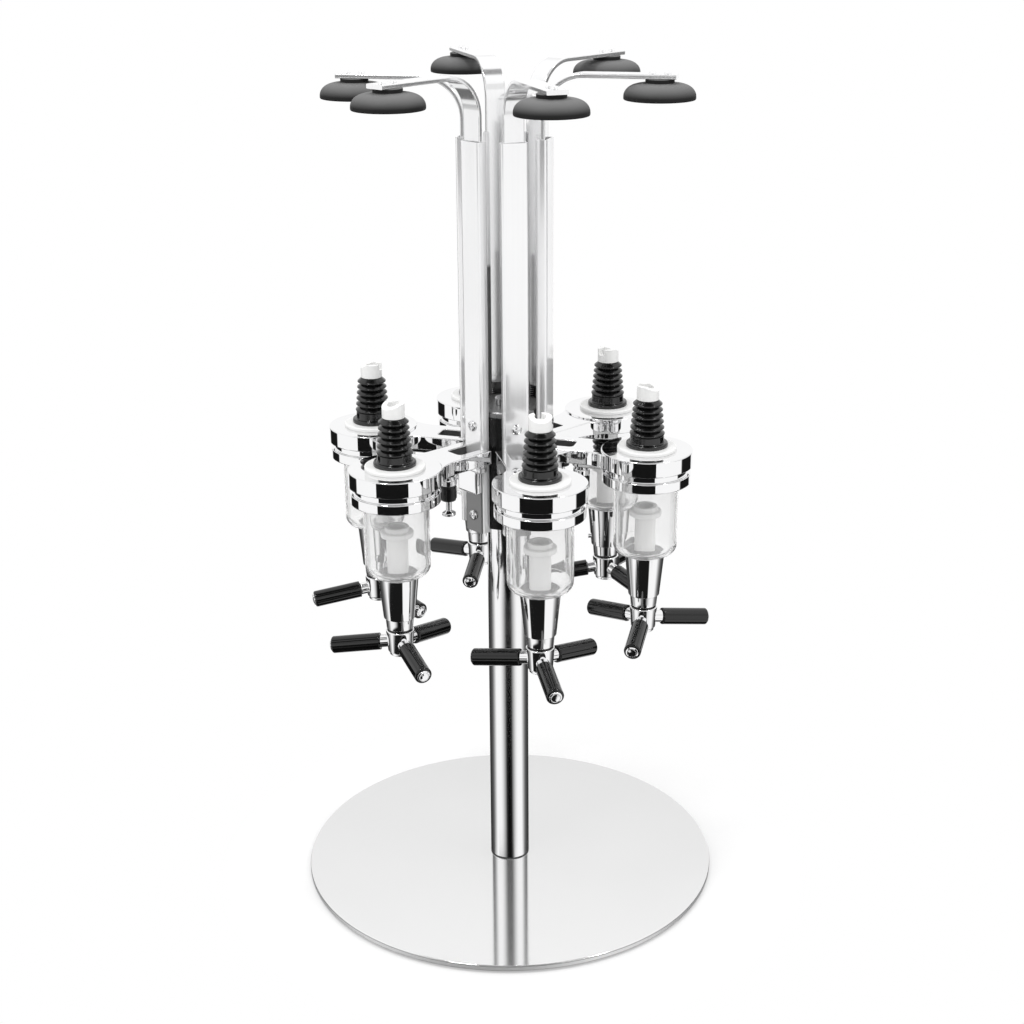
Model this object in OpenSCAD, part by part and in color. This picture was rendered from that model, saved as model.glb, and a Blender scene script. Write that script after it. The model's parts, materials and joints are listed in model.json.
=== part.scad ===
// Rotary stand that holds six upturned bottles over spirit measures. Millimetres, +Z up.
// The origin is the centre of the stand's underside, and station 1 faces -Y.

/* [Base and post] */
// Diameter of the base plate
base_d = 307; // [304:1:360]
// Thickness of the base plate
plate_t = 4; // [4:0.5:8]
// Thickness of the rubber foot under the plate
foot_t = 2; // [1:0.5:4]
// How far the foot stays back from the plate's edge
foot_inset = 6; // [2:1:20]
// Outer diameter of the post
post_d = 29; // [26:0.5:32]
// Wall of the post's tube
post_wall = 2; // [1.5:0.5:3]

/* [Hub and rails] */
// Wall of the bushes between post and hub
bush_wall = 3.5; // [2:0.5:5]
// Length of one bush
bush_l = 16; // [10:1:24]
// Wall of the hub between its bore and its flats
hub_wall = 5.8; // [5:0.2:9]
// Height of the hub
hub_h = 82; // [78:1:100]
// How far the hub's foot stays above the rails' lower ends
hub_lift = 2; // [1.5:0.5:6]
// Thickness of the cap on the hub
cap_t = 4; // [3:0.5:6]
// Width of a rail across its web
rail_w = 18; // [17:0.5:20]
// Depth of a rail's channel, outside
rail_depth = 8; // [8:0.5:12]
// Wall of a rail
rail_wall = 1.2; // [1:0.1:1.5]
// Width of the lips that keep an arm in its rail
rail_lip = 2.5; // [1.5:0.1:3]
// Length of a rail
rail_l = 272.5; // [260:0.5:330]
// How far the rails reach below the collars' top face
rail_drop = 63.6; // [60:0.2:70]
// Height of the upper rail screws over the collars' top face
screw_above = 14.5; // [12:0.5:17]
// Depth of the lower rail screws under the collars' top face
screw_below = 51.1; // [46:0.1:54]
// Diameter of the rail screws' heads
screw_head_d = 7.5; // [6:0.5:9]

/* [Brackets and collars] */
// Radius of the circle that the measures stand on
measure_r = 101.5; // [99:0.5:115]
// Height of the collars' top face over the base plate
collar_z = 335.6; // [325:0.2:400]
// Outer diameter of a collar
collar_d = 63.4; // [62:0.2:68]
// Height of a collar
collar_t = 11.2; // [9:0.2:14]
// Wall of a fork's prongs beside the rail
fork_wall = 5.2; // [4:0.2:6]
// How far the prongs reach back along the rail's sides
fork_grip = 4; // [3:0.5:5]
// Length of the fork's slot in front of the rail
slot_l = 16.6; // [14:0.2:18]
// Radius of the web's sweep into the collar
sweep_r = 30; // [24:1:40]
// Width of the block that bears on the rail
block_w = 20; // [17:0.5:22]
// Thickness of the block that bears on the rail
block_t = 6; // [5:0.5:8]
// Height of the block under the collar's underside
block_h = 22; // [20:0.5:26]
// Outer diameter of the clamp rings
clamp_d = 61.4; // [60:0.2:68]
// Height of the clamp rings
clamp_t = 7.1; // [5:0.2:9]
// Height of the groove between collar and clamp ring
groove_h = 4.8; // [4:0.1:6]
// Radius at which the release pins hang
pin_x = 55; // [54.5:0.5:58]
// Diameter of a release pin
pin_d = 4; // [3:0.5:5]
// Diameter of a release pin's pull disc
pull_d = 9.5; // [8:0.5:14]
// Outer diameter of a release pin's body
pin_body_d = 11.5; // [9:0.5:14]
// Height of a release pin's body
pin_body_h = 10.5; // [8:0.5:14]
// Height of the nut over a release pin's body
pin_nut_h = 8; // [6:0.5:10]
// Travel of a release pin
pin_travel = 5; // [3:0.5:6]

/* [Measures] */
// Diameter of the white seal washer
washer_d = 41; // [38:0.5:46]
// Thickness of the seal washer over the collar
washer_t = 2.5; // [2:0.1:4]
// Diameter of the cork's flange
cork_d = 29; // [26:0.5:32]
// Height of the cork with its flange
cork_h = 33.2; // [30:0.1:42]
// Diameter of the cork's lowest fin
fin_low_d = 24.4; // [23:0.1:26]
// Diameter of the cork's highest fin
fin_high_d = 20.4; // [19:0.1:22]
// Depth of a cork's fins
fin_depth = 2.6; // [1.5:0.1:3]
// Number of fins on a cork
fin_count = 6; // [4:1:8]
// Diameter of the inlet tube's tip
tip_d = 15.3; // [14:0.1:17]
// Height of the inlet tube's tip over the cork
tip_h = 9.8; // [8:0.2:16]
// Bore of the inlet tube
inlet_bore = 8; // [6:0.5:9]
// Outer diameter of the clear chamber
chamber_d = 45; // [43:0.5:47]
// Height of the chamber from the collar to the spout
chamber_h = 65.2; // [60:0.2:80]
// Wall of the chamber
chamber_wall = 2; // [1.5:0.1:3]
// Radius of the chamber's rounded bottom
chamber_corner = 9; // [8:0.2:12]
// Outer diameter of the valve tube in the chamber
valve_tube_d = 14.6; // [13:0.2:17]
// Height of the valve tube
valve_tube_h = 35.1; // [34.5:0.1:44]
// Diameter of the valve tube's head
valve_head_d = 22.5; // [18:0.5:26]
// Height of the valve tube's head
valve_head_h = 7.1; // [5:0.1:10]

/* [Spouts and stems] */
// Diameter of a spout at its top
spout_d = 27.9; // [26:0.1:34]
// Height of a spout
spout_h = 31.9; // [28:0.1:38]
// Wall of a spout at its lower lip
spout_lip = 1.1; // [1:0.1:2.5]
// Straight band at the top of the spout, above its taper
spout_band = 2; // [1:0.5:16]
// Diameter of the stem's sleeve, the bright neck under the spout
neck_d = 19.6; // [18:0.1:20]
// Height of the neck that shows at rest
neck_h = 8.5; // [7:0.1:10]
// Diameter of the stem's rod in the valve tube
rod_d = 8; // [7:0.1:8.4]
// Diameter of the spindle that the lever hub turns on
spindle_d = 11; // [9:0.2:12]

/* [Levers] */
// Diameter of a lever hub
lever_hub_d = 19.7; // [18.5:0.1:22]
// Height of a lever hub
lever_hub_h = 16.2; // [14.5:0.1:20]
// Gap between neck and lever hub
lever_gap = 0.9; // [0.6:0.1:1.5]
// Droop of the levers below level, in degrees
lever_droop = 8; // [4:0.5:12]
// Diameter of a lever's rod where it leaves the hub
lever_rod_d = 9; // [7:0.5:9.5]
// Distance from the hub's axis to the start of a grip
grip_start = 14.2; // [13.5:0.1:15]
// Diameter of a grip
grip_d = 12; // [11:0.5:13]
// Length of a grip
grip_l = 34.8; // [30:0.2:35.2]
// Diameter of the chrome plug at a grip's end
plug_d = 8.8; // [7.5:0.1:10]
// How far the plug stands out of the grip
plug_h = 1.4; // [1:0.1:1.8]

/* [Bottle arms] */
// Width of an arm's strip
strip_w = 14.2; // [12:0.1:14.6]
// Thickness of an arm's strip
strip_t = 3; // [2:0.1:3.2]
// Inner radius of the arm's bend
bend_r = 25; // [15:0.5:35]
// Height of the level arm's underside over the rails' top
arm_rise = 42; // [38:0.5:60]
// Distance from the turntable's axis to the arm's end
arm_reach = 115; // [105:0.5:122]
// Length of arm inside its rail at rest
arm_grip = 180; // [150:1:182]
// Turn of an arm in its rail's play, in degrees
arm_turn = 5.2; // [0:0.1:5.4]
// Distance from the arm's end to the pad's centre
pad_back = 11.3; // [10.5:0.1:20]
// Diameter of a rubber pad
pad_d = 47.2; // [40:0.2:56]
// Height of a pad's dome
pad_h = 10.2; // [8:0.2:14]
// Radius of a pad's rounded shoulder
pad_round = 7; // [4:0.2:8]
// Diameter of a pad's neck
pad_neck_d = 19; // [18:0.5:24]
// Height of a pad's neck
pad_neck_h = 3; // [2:0.1:5]
// Diameter of the rivets through an arm's end
rivet_d = 3; // [2.5:0.1:4]
// Distance between the two rivets of an arm
rivet_gap = 10; // [9:0.5:11]

/* [Hidden] */
$fn = 96;
stations = 6;
sector = 360 / stations;
// Rest turn of each lever set about its measure, as the photograph shows it
lever_turns = [-1.6, 34.4, 22, 39, 30.7, 69.5];
// Rest height of each bottle arm in its rail, above or below the mean, as the photograph shows it
arm_lifts = [-2, -2, 3, 3.5, -5.5, -1];
lever_count = 3;

// Clearances: running on shafts, seats within one body, play of parts that slide past each other
run = 0.05;
seat = 0.05;
play = 0.3;
near = 0.2;
// Overlap that keeps cuts clean
cut = 1;

// Radii, from the post outwards
post_r = post_d / 2;
post_bore = post_r - post_wall;
bush_in = post_r + run;
bush_out = bush_in + bush_wall;
hub_bore = bush_out + seat;
hub_flat = hub_bore + hub_wall;
hub_edge = 0.2;
hub_r = sqrt(pow(hub_flat, 2) + pow(rail_w / 2 + hub_edge, 2));
rail_in = hub_flat;
rail_out = rail_in + rail_depth;
channel_mid = (rail_in + rail_out) / 2;

// Heights, from the floor upwards
plate_top = foot_t + plate_t;
collar_top = plate_top + collar_z;
collar_low = collar_top - collar_t;
clamp_top = collar_low - groove_h;
clamp_low = clamp_top - clamp_t;
spout_top = collar_low - chamber_h;
spout_low = spout_top - spout_h;
neck_low = spout_low - neck_h;
lever_top = neck_low - lever_gap;
lever_low = lever_top - lever_hub_h;
rail_low = collar_top - rail_drop;
rail_top = rail_low + rail_l;
hub_low = rail_low + hub_lift;
hub_top = hub_low + hub_h;
strip_under = rail_top + arm_rise;
strip_low = rail_top - arm_grip;
cork_low = collar_top + washer_t;
cork_top = cork_low + cork_h;
upper_screw_z = collar_top + screw_above;
lower_screw_z = collar_top - screw_below;

// Foot of the post
bolt_r = 5;
bolt_head_r = 9.5;
bolt_head_rim = 0.5;
foot_plug_h = 25;
bolt_grip = 18;
bolt_l = plate_t + bolt_grip;
foot_hole_r = 20;
plate_edge = 0.6;

// Head of the post
plug_flange_t = 2;
top_plug_h = 18;
thrust_t = 1.5;
thrust_gap_r = 1.5;
shoulder_r = 4;
pivot_thread_r = 3;
pivot_thread_l = 12;
pivot_head_r = 8;
pivot_head_h = 4;
pivot_key_r = 2.6;
pivot_key_h = 2.5;
cap_edge = 1;
cap_boss_h = 8;
bush_flange_t = 1.4;
bush_flange_r = hub_bore + hub_wall / 2;
thrust_low = hub_top - cap_boss_h - thrust_t;
post_top = thrust_low - plug_flange_t;

// Screws
screw_r = 2;
screw_head_h = 2.4;
screw_bite = 4.4;
cross_w = 1.1;
cross_l = 4.2;
cross_h = 1.2;
side_screw_r = 1.7;
side_head_r = 2.8;
side_head_h = 2;
side_screw_y = -3.6;
side_screw_drop = 13;
side_screw_bite = 4;

// Arm springs in the rails
spring_r = 2;
spring_y = 4.6;

// Bracket forks
fork_half = rail_w / 2 + play + fork_wall;
slot_half = rail_w / 2 + play;
fork_start = rail_out - fork_grip;
slot_end = rail_out + slot_l;
bar_h = 5;
sector_gap = 0.6;
collar_r = collar_d / 2;
collar_edge = 0.8;
// Centre of the sweep that is tangent to the prong's side and to the collar
sweep_y = fork_half + sweep_r;
sweep_x = measure_r - sqrt(pow(collar_r + sweep_r, 2) - pow(sweep_y, 2));
sweep_share = collar_r / (collar_r + sweep_r);
sweep_end = [measure_r - (measure_r - sweep_x) * sweep_share, sweep_y * sweep_share];
washer_spigot_r = 17;
washer_spigot_h = 6;

// Clamp rings and the chambers that they hold
chamber_r = chamber_d / 2;
flange_w = 3.5;
flange_r = chamber_r + flange_w;
flange_t = 3;
spigot_wall = 2.4;
spigot_r = flange_r + seat + spigot_wall;
tail_half = 7;
tail_back = 6;
pin_nut_r = 6;
pin_socket = 4;
pin_r = pin_d / 2;
pin_body_low = clamp_top - pin_nut_h - pin_body_h;
pull_space = 2.4;
pull_gap = pull_space + pin_travel;
pull_t = 3.6;

// Corks and inlet tubes
cork_flange_h = 3;
cork_base_h = 5;
cork_base_r = 13.5;
inlet_r = 6;
fin_pitch = (cork_h - cork_flange_h - cork_base_h) / fin_count;
fin_lip = 0.22;
tip_slope = 22;
tip_notch_w = 5;
tip_keep = 0.55;

// Spouts, stems and their springs
neck_r = neck_d / 2;
spout_end_r = neck_r + run + spout_lip;
spout_bore = neck_r + run;
spout_roof = 6;
stem_engage = 6;
rod_r = rod_d / 2;
rod_rise = 28;
stem_bore = 2.5;
stem_bore_top = 8;
valve_bore = rod_r + 1.6;
disc_t = 3;
disc_gap = 0.4;
spring_in = rod_r + 1;
spring_wall = 3;
vent_turn = 138;
vent_r = 1.8;
vent_out = 2.6;
vent_rise = 6;
stem_lip_h = 2;
stem_lip_r = spindle_d / 2 + 2;

// Levers
lever_bore = spindle_d / 2 + run;
lever_hub_r = lever_hub_d / 2;
lever_edge = 0.8;
lever_root = lever_low + lever_hub_h * 0.49;
rod_core_r = 3.2;
rod_inset = 2.2;
grip_round = 2;
grip_bevel = 0.5;

// Places its children at one station: local +X points outwards
module at_station(i) {
    rotate([0, 0, sector * (i - 1) - 90])
        children();
}

// Places its children on a measure's axis
module at_measure(i) {
    at_station(i)
        translate([measure_r, 0, 0])
            children();
}

// One copy for every station
module each_station() {
    for (i = [1:stations])
        at_station(i)
            children();
}

// One copy for every measure
module each_measure() {
    for (i = [1:stations])
        at_measure(i)
            children();
}

// Ring or disc between two heights
module ring(r_out, r_in, low, high) {
    translate([0, 0, low])
        difference() {
            cylinder(r = r_out, h = high - low);
            translate([0, 0, -cut])
                cylinder(r = r_in, h = high - low + 2 * cut);
        }
}

// Solid turned about Z from an outline of radius and height
module turned(outline) {
    rotate_extrude()
        polygon(outline);
}

// Round bar along +X that starts at a given distance
module bar_x(r, start, length) {
    translate([start, 0, 0])
        rotate([0, 90, 0])
            cylinder(r = r, h = length);
}

module base_plate() {
    r = base_d / 2;
    head_h = plate_t - bolt_head_rim;
    color("gainsboro")
        difference() {
            turned([
                [0, foot_t], [r - plate_edge, foot_t], [r, foot_t + plate_edge],
                [r, plate_top - plate_edge], [r - plate_edge, plate_top], [0, plate_top]
            ]);
            translate([0, 0, foot_t - cut])
                cylinder(r = bolt_r + seat, h = plate_t + 2 * cut);
            translate([0, 0, foot_t])
                cylinder(r1 = bolt_head_r + seat, r2 = bolt_r + seat, h = head_h);
        }
}

module foot_pad() {
    color("dimgray")
        ring(base_d / 2 - foot_inset, foot_hole_r, 0, foot_t);
}

module post() {
    color("silver")
        ring(post_r, post_bore, plate_top, post_top);
}

module foot_plug() {
    color("darkgray")
        ring(post_bore - seat, bolt_r + seat, plate_top, plate_top + foot_plug_h);
}

module base_bolt() {
    head_h = plate_t - bolt_head_rim;
    color("slategray")
        translate([0, 0, foot_t])
            difference() {
                union() {
                    cylinder(r1 = bolt_head_r, r2 = bolt_r, h = head_h);
                    cylinder(r = bolt_r, h = bolt_l);
                }
                translate([0, 0, -cut])
                    cylinder(r = bolt_r * 0.6, h = head_h * 0.7 + cut, $fn = 6);
            }
}

module top_plug() {
    color("darkgray")
        difference() {
            union() {
                translate([0, 0, post_top - top_plug_h])
                    cylinder(r = post_bore - seat, h = top_plug_h + cut);
                translate([0, 0, post_top])
                    cylinder(r = post_r, h = plug_flange_t);
            }
            translate([0, 0, post_top - pivot_thread_l])
                cylinder(r = pivot_thread_r + seat, h = pivot_thread_l + plug_flange_t + cut);
        }
}

module thrust_washer() {
    color("ivory")
        ring(post_r - thrust_gap_r, shoulder_r + seat, thrust_low, thrust_low + thrust_t);
}

module pivot_screw() {
    shoulder_top = hub_top + cap_t + near;
    color("slategray")
        difference() {
            turned([
                [0, post_top + plug_flange_t - pivot_thread_l],
                [pivot_thread_r, post_top + plug_flange_t - pivot_thread_l],
                [pivot_thread_r, thrust_low], [shoulder_r, thrust_low],
                [shoulder_r, shoulder_top], [pivot_head_r, shoulder_top],
                [pivot_head_r, shoulder_top + pivot_head_h], [0, shoulder_top + pivot_head_h]
            ]);
            translate([0, 0, shoulder_top + pivot_head_h - pivot_key_h])
                cylinder(r = pivot_key_r, h = pivot_key_h + cut, $fn = 6);
        }
}

module hub() {
    color("lightgray")
        difference() {
            translate([0, 0, hub_low])
                intersection() {
                    cylinder(r = hub_r, h = hub_h);
                    cylinder(r = hub_flat / cos(sector / 2), h = hub_h, $fn = stations);
                }
            translate([0, 0, hub_low - cut])
                cylinder(r = hub_bore, h = hub_h + 2 * cut);
            each_station()
                for (z = [lower_screw_z, upper_screw_z])
                    translate([0, 0, z])
                        bar_x(screw_r + seat, hub_bore - cut, hub_wall + 2 * cut);
        }
}

module hub_bushes() {
    upper_high = hub_top - cap_boss_h - near;
    color("ivory") {
        turned([
            [bush_in, hub_low - bush_flange_t], [bush_flange_r, hub_low - bush_flange_t],
            [bush_flange_r, hub_low], [bush_out, hub_low],
            [bush_out, hub_low + bush_l], [bush_in, hub_low + bush_l]
        ]);
        ring(bush_out, bush_in, post_top - near - bush_l, min(post_top - near, upper_high));
    }
}

module hub_cap() {
    boss_low = hub_top - cap_boss_h;
    color("gainsboro")
        turned([
            [shoulder_r + run, boss_low], [hub_bore - seat, boss_low], [hub_bore - seat, hub_top],
            [hub_r - cap_edge, hub_top], [hub_r - cap_edge, hub_top + cap_t - cap_edge],
            [hub_r - 2 * cap_edge, hub_top + cap_t], [shoulder_r + run, hub_top + cap_t]
        ]);
}

// One folded channel with lips, closed by a small tab at its lower end
module rail() {
    inside = rail_w - 2 * rail_wall;
    mouth = inside - 2 * rail_lip;
    difference() {
        translate([rail_in, -rail_w / 2, rail_low])
            cube([rail_depth, rail_w, rail_l]);
        translate([rail_in + rail_wall, -inside / 2, rail_low + rail_wall])
            cube([rail_depth - 2 * rail_wall, inside, rail_l]);
        translate([rail_in - cut, -mouth / 2, rail_low + rail_wall])
            cube([rail_wall + 2 * cut, mouth, rail_l]);
        for (z = [lower_screw_z, upper_screw_z])
            translate([0, 0, z])
                bar_x(screw_r + seat, rail_out - rail_wall - cut, rail_wall + 2 * cut);
        translate([0, side_screw_y, collar_low - side_screw_drop])
            bar_x(side_screw_r + seat, rail_out - rail_wall - cut, rail_wall + 2 * cut);
    }
}

module rails() {
    color("whitesmoke")
        each_station()
            rail();
}

// Cross-head pan screw along +X, its head's seat at x = 0 and its shank inwards
module pan_screw(length) {
    head_r = screw_head_d / 2;
    rotate([0, 90, 0])
        difference() {
            turned([
                [0, -length], [screw_r, -length], [screw_r, 0], [head_r, 0],
                [head_r, screw_head_h * 0.45], [head_r * 0.86, screw_head_h * 0.78],
                [head_r * 0.55, screw_head_h], [0, screw_head_h]
            ]);
            for (a = [0, 90])
                rotate([0, 0, a])
                    translate([-cross_l / 2, -cross_w / 2, screw_head_h - cross_h])
                        cube([cross_l, cross_w, cross_h + cut]);
        }
}

module mounting_screws() {
    color("silver")
        each_station() {
            for (z = [lower_screw_z, upper_screw_z])
                translate([rail_out, 0, z])
                    pan_screw(rail_depth + screw_bite);
            translate([0, side_screw_y, collar_low - side_screw_drop]) {
                bar_x(side_head_r, rail_out - rail_wall - side_head_h, side_head_h);
                bar_x(side_screw_r, rail_out - rail_wall - cut, rail_wall + side_screw_bite + cut);
            }
        }
}

// Plan of a bracket's fork and web, without the collar
module fork_plan() {
    difference() {
        polygon([
            [fork_start, -fork_half], [sweep_x, -fork_half], [sweep_end.x, -sweep_end.y],
            [measure_r, 0], [sweep_end.x, sweep_end.y], [sweep_x, fork_half], [fork_start, fork_half]
        ]);
        for (side = [-1, 1])
            translate([sweep_x, side * sweep_y])
                circle(r = sweep_r);
        translate([fork_start - cut, -slot_half])
            square([slot_end - slot_half - fork_start + cut, 2 * slot_half]);
        translate([slot_end - slot_half, 0])
            circle(r = slot_half);
        for (side = [0, 1])
            mirror([0, side])
                rotate([0, 0, sector / 2])
                    translate([0, -sector_gap / 2])
                        square(measure_r);
    }
}

module bracket_arm() {
    difference() {
        union() {
            translate([0, 0, collar_low])
                linear_extrude(collar_t)
                    fork_plan();
            translate([measure_r, 0, 0])
                turned([
                    [0, collar_low], [collar_r, collar_low], [collar_r, collar_top - collar_edge],
                    [collar_r - collar_edge, collar_top], [0, collar_top]
                ]);
            translate([rail_out, -fork_half, collar_low - bar_h])
                cube([block_t, 2 * fork_half, bar_h + cut]);
            translate([rail_out, -block_w / 2, collar_low - block_h])
                cube([block_t, block_w, block_h - bar_h + cut]);
        }
        translate([measure_r, 0, collar_low - cut])
            cylinder(r = washer_spigot_r + seat, h = collar_t + 2 * cut);
        translate([pin_x, 0, collar_low - cut])
            cylinder(r = pin_r + run, h = pin_socket + near + cut);
        translate([0, side_screw_y, collar_low - side_screw_drop])
            bar_x(side_screw_r + seat, rail_out - cut, side_screw_bite + near + cut);
    }
}

module bracket_arms() {
    color("silver")
        each_station()
            bracket_arm();
}

// Ring under a collar, with a tail that carries the release pin
module clamp_ring() {
    clamp_r = clamp_d / 2;
    difference() {
        union() {
            translate([measure_r, 0, 0])
                turned([
                    [0, clamp_low], [clamp_r - collar_edge, clamp_low], [clamp_r, clamp_low + collar_edge],
                    [clamp_r, clamp_top], [spigot_r, clamp_top], [spigot_r, collar_low], [0, collar_low]
                ]);
            translate([pin_x - tail_back, -tail_half, clamp_top])
                cube([measure_r - pin_x, 2 * tail_half, groove_h]);
            translate([pin_x, 0, clamp_top])
                mirror([0, 0, 1])
                    turned([
                        [0, -cut], [pin_nut_r * 0.7, -cut], [pin_nut_r * 0.7, 0],
                        [pin_nut_r, pin_nut_h * 0.35], [pin_nut_r, pin_nut_h * 0.8],
                        [pin_nut_r * 0.85, pin_nut_h], [0, pin_nut_h]
                    ]);
        }
        translate([measure_r, 0, clamp_low - cut])
            cylinder(r = chamber_r + seat, h = clamp_t + groove_h + 2 * cut);
        translate([measure_r, 0, collar_low - flange_t - seat])
            cylinder(r = flange_r + seat, h = flange_t + seat + cut);
        translate([pin_x, 0, pin_body_low])
            cylinder(r = pin_r + run, h = collar_low - pin_body_low + cut);
    }
}

module clamp_rings() {
    color("silver")
        each_station()
            clamp_ring();
}

module seal_washers() {
    edge = washer_t * 0.3;
    spigot_low = collar_top - washer_spigot_h;
    color("white")
        each_measure()
            turned([
                [inlet_r + seat, spigot_low], [washer_spigot_r, spigot_low],
                [washer_spigot_r, collar_top], [washer_d / 2, collar_top],
                [washer_d / 2, cork_low - edge], [washer_d / 2 - edge, cork_low], [inlet_r + seat, cork_low]
            ]);
}

// Height and radius of the cork's fins, which fold down over their undersides
function fin_z(j) = cork_low + cork_flange_h + cork_base_h + j * fin_pitch;
function fin_r(j) = fin_low_d / 2 - (fin_low_d - fin_high_d) / 2 * j / max(fin_count - 1, 1);
function fin_outline() = [
    for (j = [0:fin_count - 1])
        for (p = [[fin_r(j) - fin_depth, 0], [fin_r(j), fin_lip], [fin_r(j), 2 * fin_lip],
                  [fin_r(j) - fin_depth, 1 - fin_lip]])
            [p.x, fin_z(j) + p.y * fin_pitch]
];

module bottle_corks() {
    flange_top = cork_low + cork_flange_h;
    color("black")
        each_measure()
            turned(concat(
                [
                    [inlet_r + seat, cork_low], [cork_d / 2, cork_low], [cork_d / 2, flange_top - fin_lip],
                    [cork_base_r, flange_top], [cork_base_r - 1, flange_top + cork_base_h]
                ],
                fin_outline(),
                [[fin_r(fin_count - 1) - fin_depth, cork_top], [inlet_r + seat, cork_top]]
            ));
}

module inlet_tube() {
    tip_r = tip_d / 2;
    difference() {
        union() {
            translate([0, 0, collar_top - washer_spigot_h])
                cylinder(r = inlet_r, h = cork_top - collar_top + washer_spigot_h + cut);
            translate([0, 0, cork_top])
                cylinder(r = tip_r, h = tip_h);
        }
        translate([0, 0, collar_top - washer_spigot_h - cut])
            cylinder(r = inlet_bore / 2, h = cork_top - collar_top + washer_spigot_h + tip_h + 2 * cut);
        translate([0, 0, cork_top + tip_h])
            rotate([0, tip_slope, 0])
                translate([-tip_d, -tip_d, 0])
                    cube(2 * tip_d);
        translate([-tip_d, -tip_notch_w / 2, cork_top + tip_h * tip_keep])
            cube([tip_d, tip_notch_w, tip_h]);
    }
}

module inlet_tubes() {
    color("white")
        each_measure()
            inlet_tube();
}

// Half section of a cup with a rounded bottom, from its bottom to a given height
module cup_section(r, corner, low, high) {
    translate([0, low + corner])
        square([r, high - low - corner]);
    translate([0, low])
        square([r - corner, corner]);
    intersection() {
        translate([r - corner, low + corner])
            circle(r = corner);
        translate([r - corner, low])
            square([corner, corner]);
    }
}

module measure_chambers() {
    inner_low = spout_top + chamber_wall;
    inner_r = chamber_r - chamber_wall;
    inner_corner = chamber_corner - chamber_wall;
    color("aliceblue")
        each_measure()
            rotate_extrude()
                difference() {
                    union() {
                        cup_section(chamber_r, chamber_corner, spout_top, collar_low);
                        translate([0, collar_low - flange_t])
                            square([flange_r, flange_t]);
                    }
                    cup_section(inner_r, inner_corner, inner_low, collar_low + cut);
                    translate([0, spout_top - cut])
                        square([valve_tube_d / 2 + seat, chamber_wall + 2 * cut]);
                }
}

module valve_tubes() {
    tube_top = spout_top + valve_tube_h;
    head_low = tube_top - valve_head_h;
    head_r = valve_head_d / 2;
    tube_r = valve_tube_d / 2;
    color("white")
        each_measure()
            turned([
                [valve_bore, spout_top], [tube_r, spout_top], [tube_r, head_low],
                [head_r, head_low], [head_r, tube_top - valve_head_h * 0.45],
                [tube_r + 1, tube_top - valve_head_h * 0.45], [tube_r + 1, tube_top], [valve_bore, tube_top]
            ]);
}

module spout() {
    spout_r = spout_d / 2;
    roof_low = spout_top - spout_roof;
    difference() {
        union() {
            turned([
                [0, spout_low], [spout_end_r, spout_low], [spout_r, spout_top - spout_band],
                [spout_r, spout_top], [0, spout_top]
            ]);
            rotate([0, 0, vent_turn])
                translate([0, 0, spout_low + vent_rise])
                    bar_x(vent_r, spout_bore + spout_lip / 2, spout_lip / 2 + vent_out);
        }
        translate([0, 0, spout_low - cut])
            cylinder(r = spout_bore, h = roof_low - spout_low + cut);
        translate([0, 0, roof_low - cut])
            cylinder(r = rod_r + run, h = spout_roof + 2 * cut);
    }
}

module spouts() {
    color("silver")
        each_measure()
            spout();
}

module valve_springs() {
    spring_low = spout_low + stem_engage + near;
    spring_high = spout_top - spout_roof - near;
    color("lightslategray")
        each_measure()
            ring(spring_in + spring_wall, spring_in, spring_low, spring_high);
}

module arm_springs() {
    spring_h = strip_low - rail_low - rail_wall - 2 * near;
    color("lightslategray")
        for (i = [1:stations])
            at_station(i)
                translate([channel_mid, spring_y, rail_low + rail_wall + near])
                    cylinder(r = spring_r, h = spring_h + arm_lifts[i - 1]);
}

module pin_bodies() {
    color("black")
        each_station()
            translate([pin_x, 0, 0])
                ring(pin_body_d / 2, pin_r + run, pin_body_low, clamp_top - pin_nut_h);
}

// Side view of an arm's strip: upright, bend and level part
module strip_profile() {
    bend_x = strip_t / 2 + bend_r;
    bend_z = strip_under - bend_r;
    end_x = arm_reach - channel_mid;
    translate([-strip_t / 2, strip_low])
        square([strip_t, bend_z - strip_low]);
    translate([bend_x, strip_under])
        square([end_x - bend_x, strip_t]);
    intersection() {
        difference() {
            translate([bend_x, bend_z])
                circle(r = bend_r + strip_t);
            translate([bend_x, bend_z])
                circle(r = bend_r);
        }
        translate([-strip_t / 2, bend_z])
            square(bend_r + strip_t);
    }
}

// Puts its children in an arm's own frame: its upright is at x = 0
module at_arm(i) {
    at_station(i)
        translate([channel_mid, 0, arm_lifts[i - 1]])
            rotate([0, 0, arm_turn])
                children();
}

module bottle_arm(i) {
    pad_x = arm_reach - channel_mid - pad_back;
    color("whitesmoke")
        at_arm(i) {
            difference() {
                rotate([90, 0, 0])
                    linear_extrude(strip_w, center = true)
                        strip_profile();
                for (side = [-1, 1])
                    translate([pad_x + side * rivet_gap / 2, 0, strip_under - cut])
                        cylinder(r = rivet_d / 2 + seat, h = strip_t + 2 * cut);
            }
            for (side = [-1, 1])
                translate([pad_x + side * rivet_gap / 2, 0, strip_under])
                    turned([
                        [0, 0], [rivet_d / 2, 0], [rivet_d / 2, strip_t + seat],
                        [rivet_d * 0.85, strip_t + seat], [rivet_d * 0.85, strip_t + rivet_d * 0.3],
                        [rivet_d * 0.5, strip_t + rivet_d * 0.5],
                        [0, strip_t + rivet_d * 0.5]
                    ]);
        }
}

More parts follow.
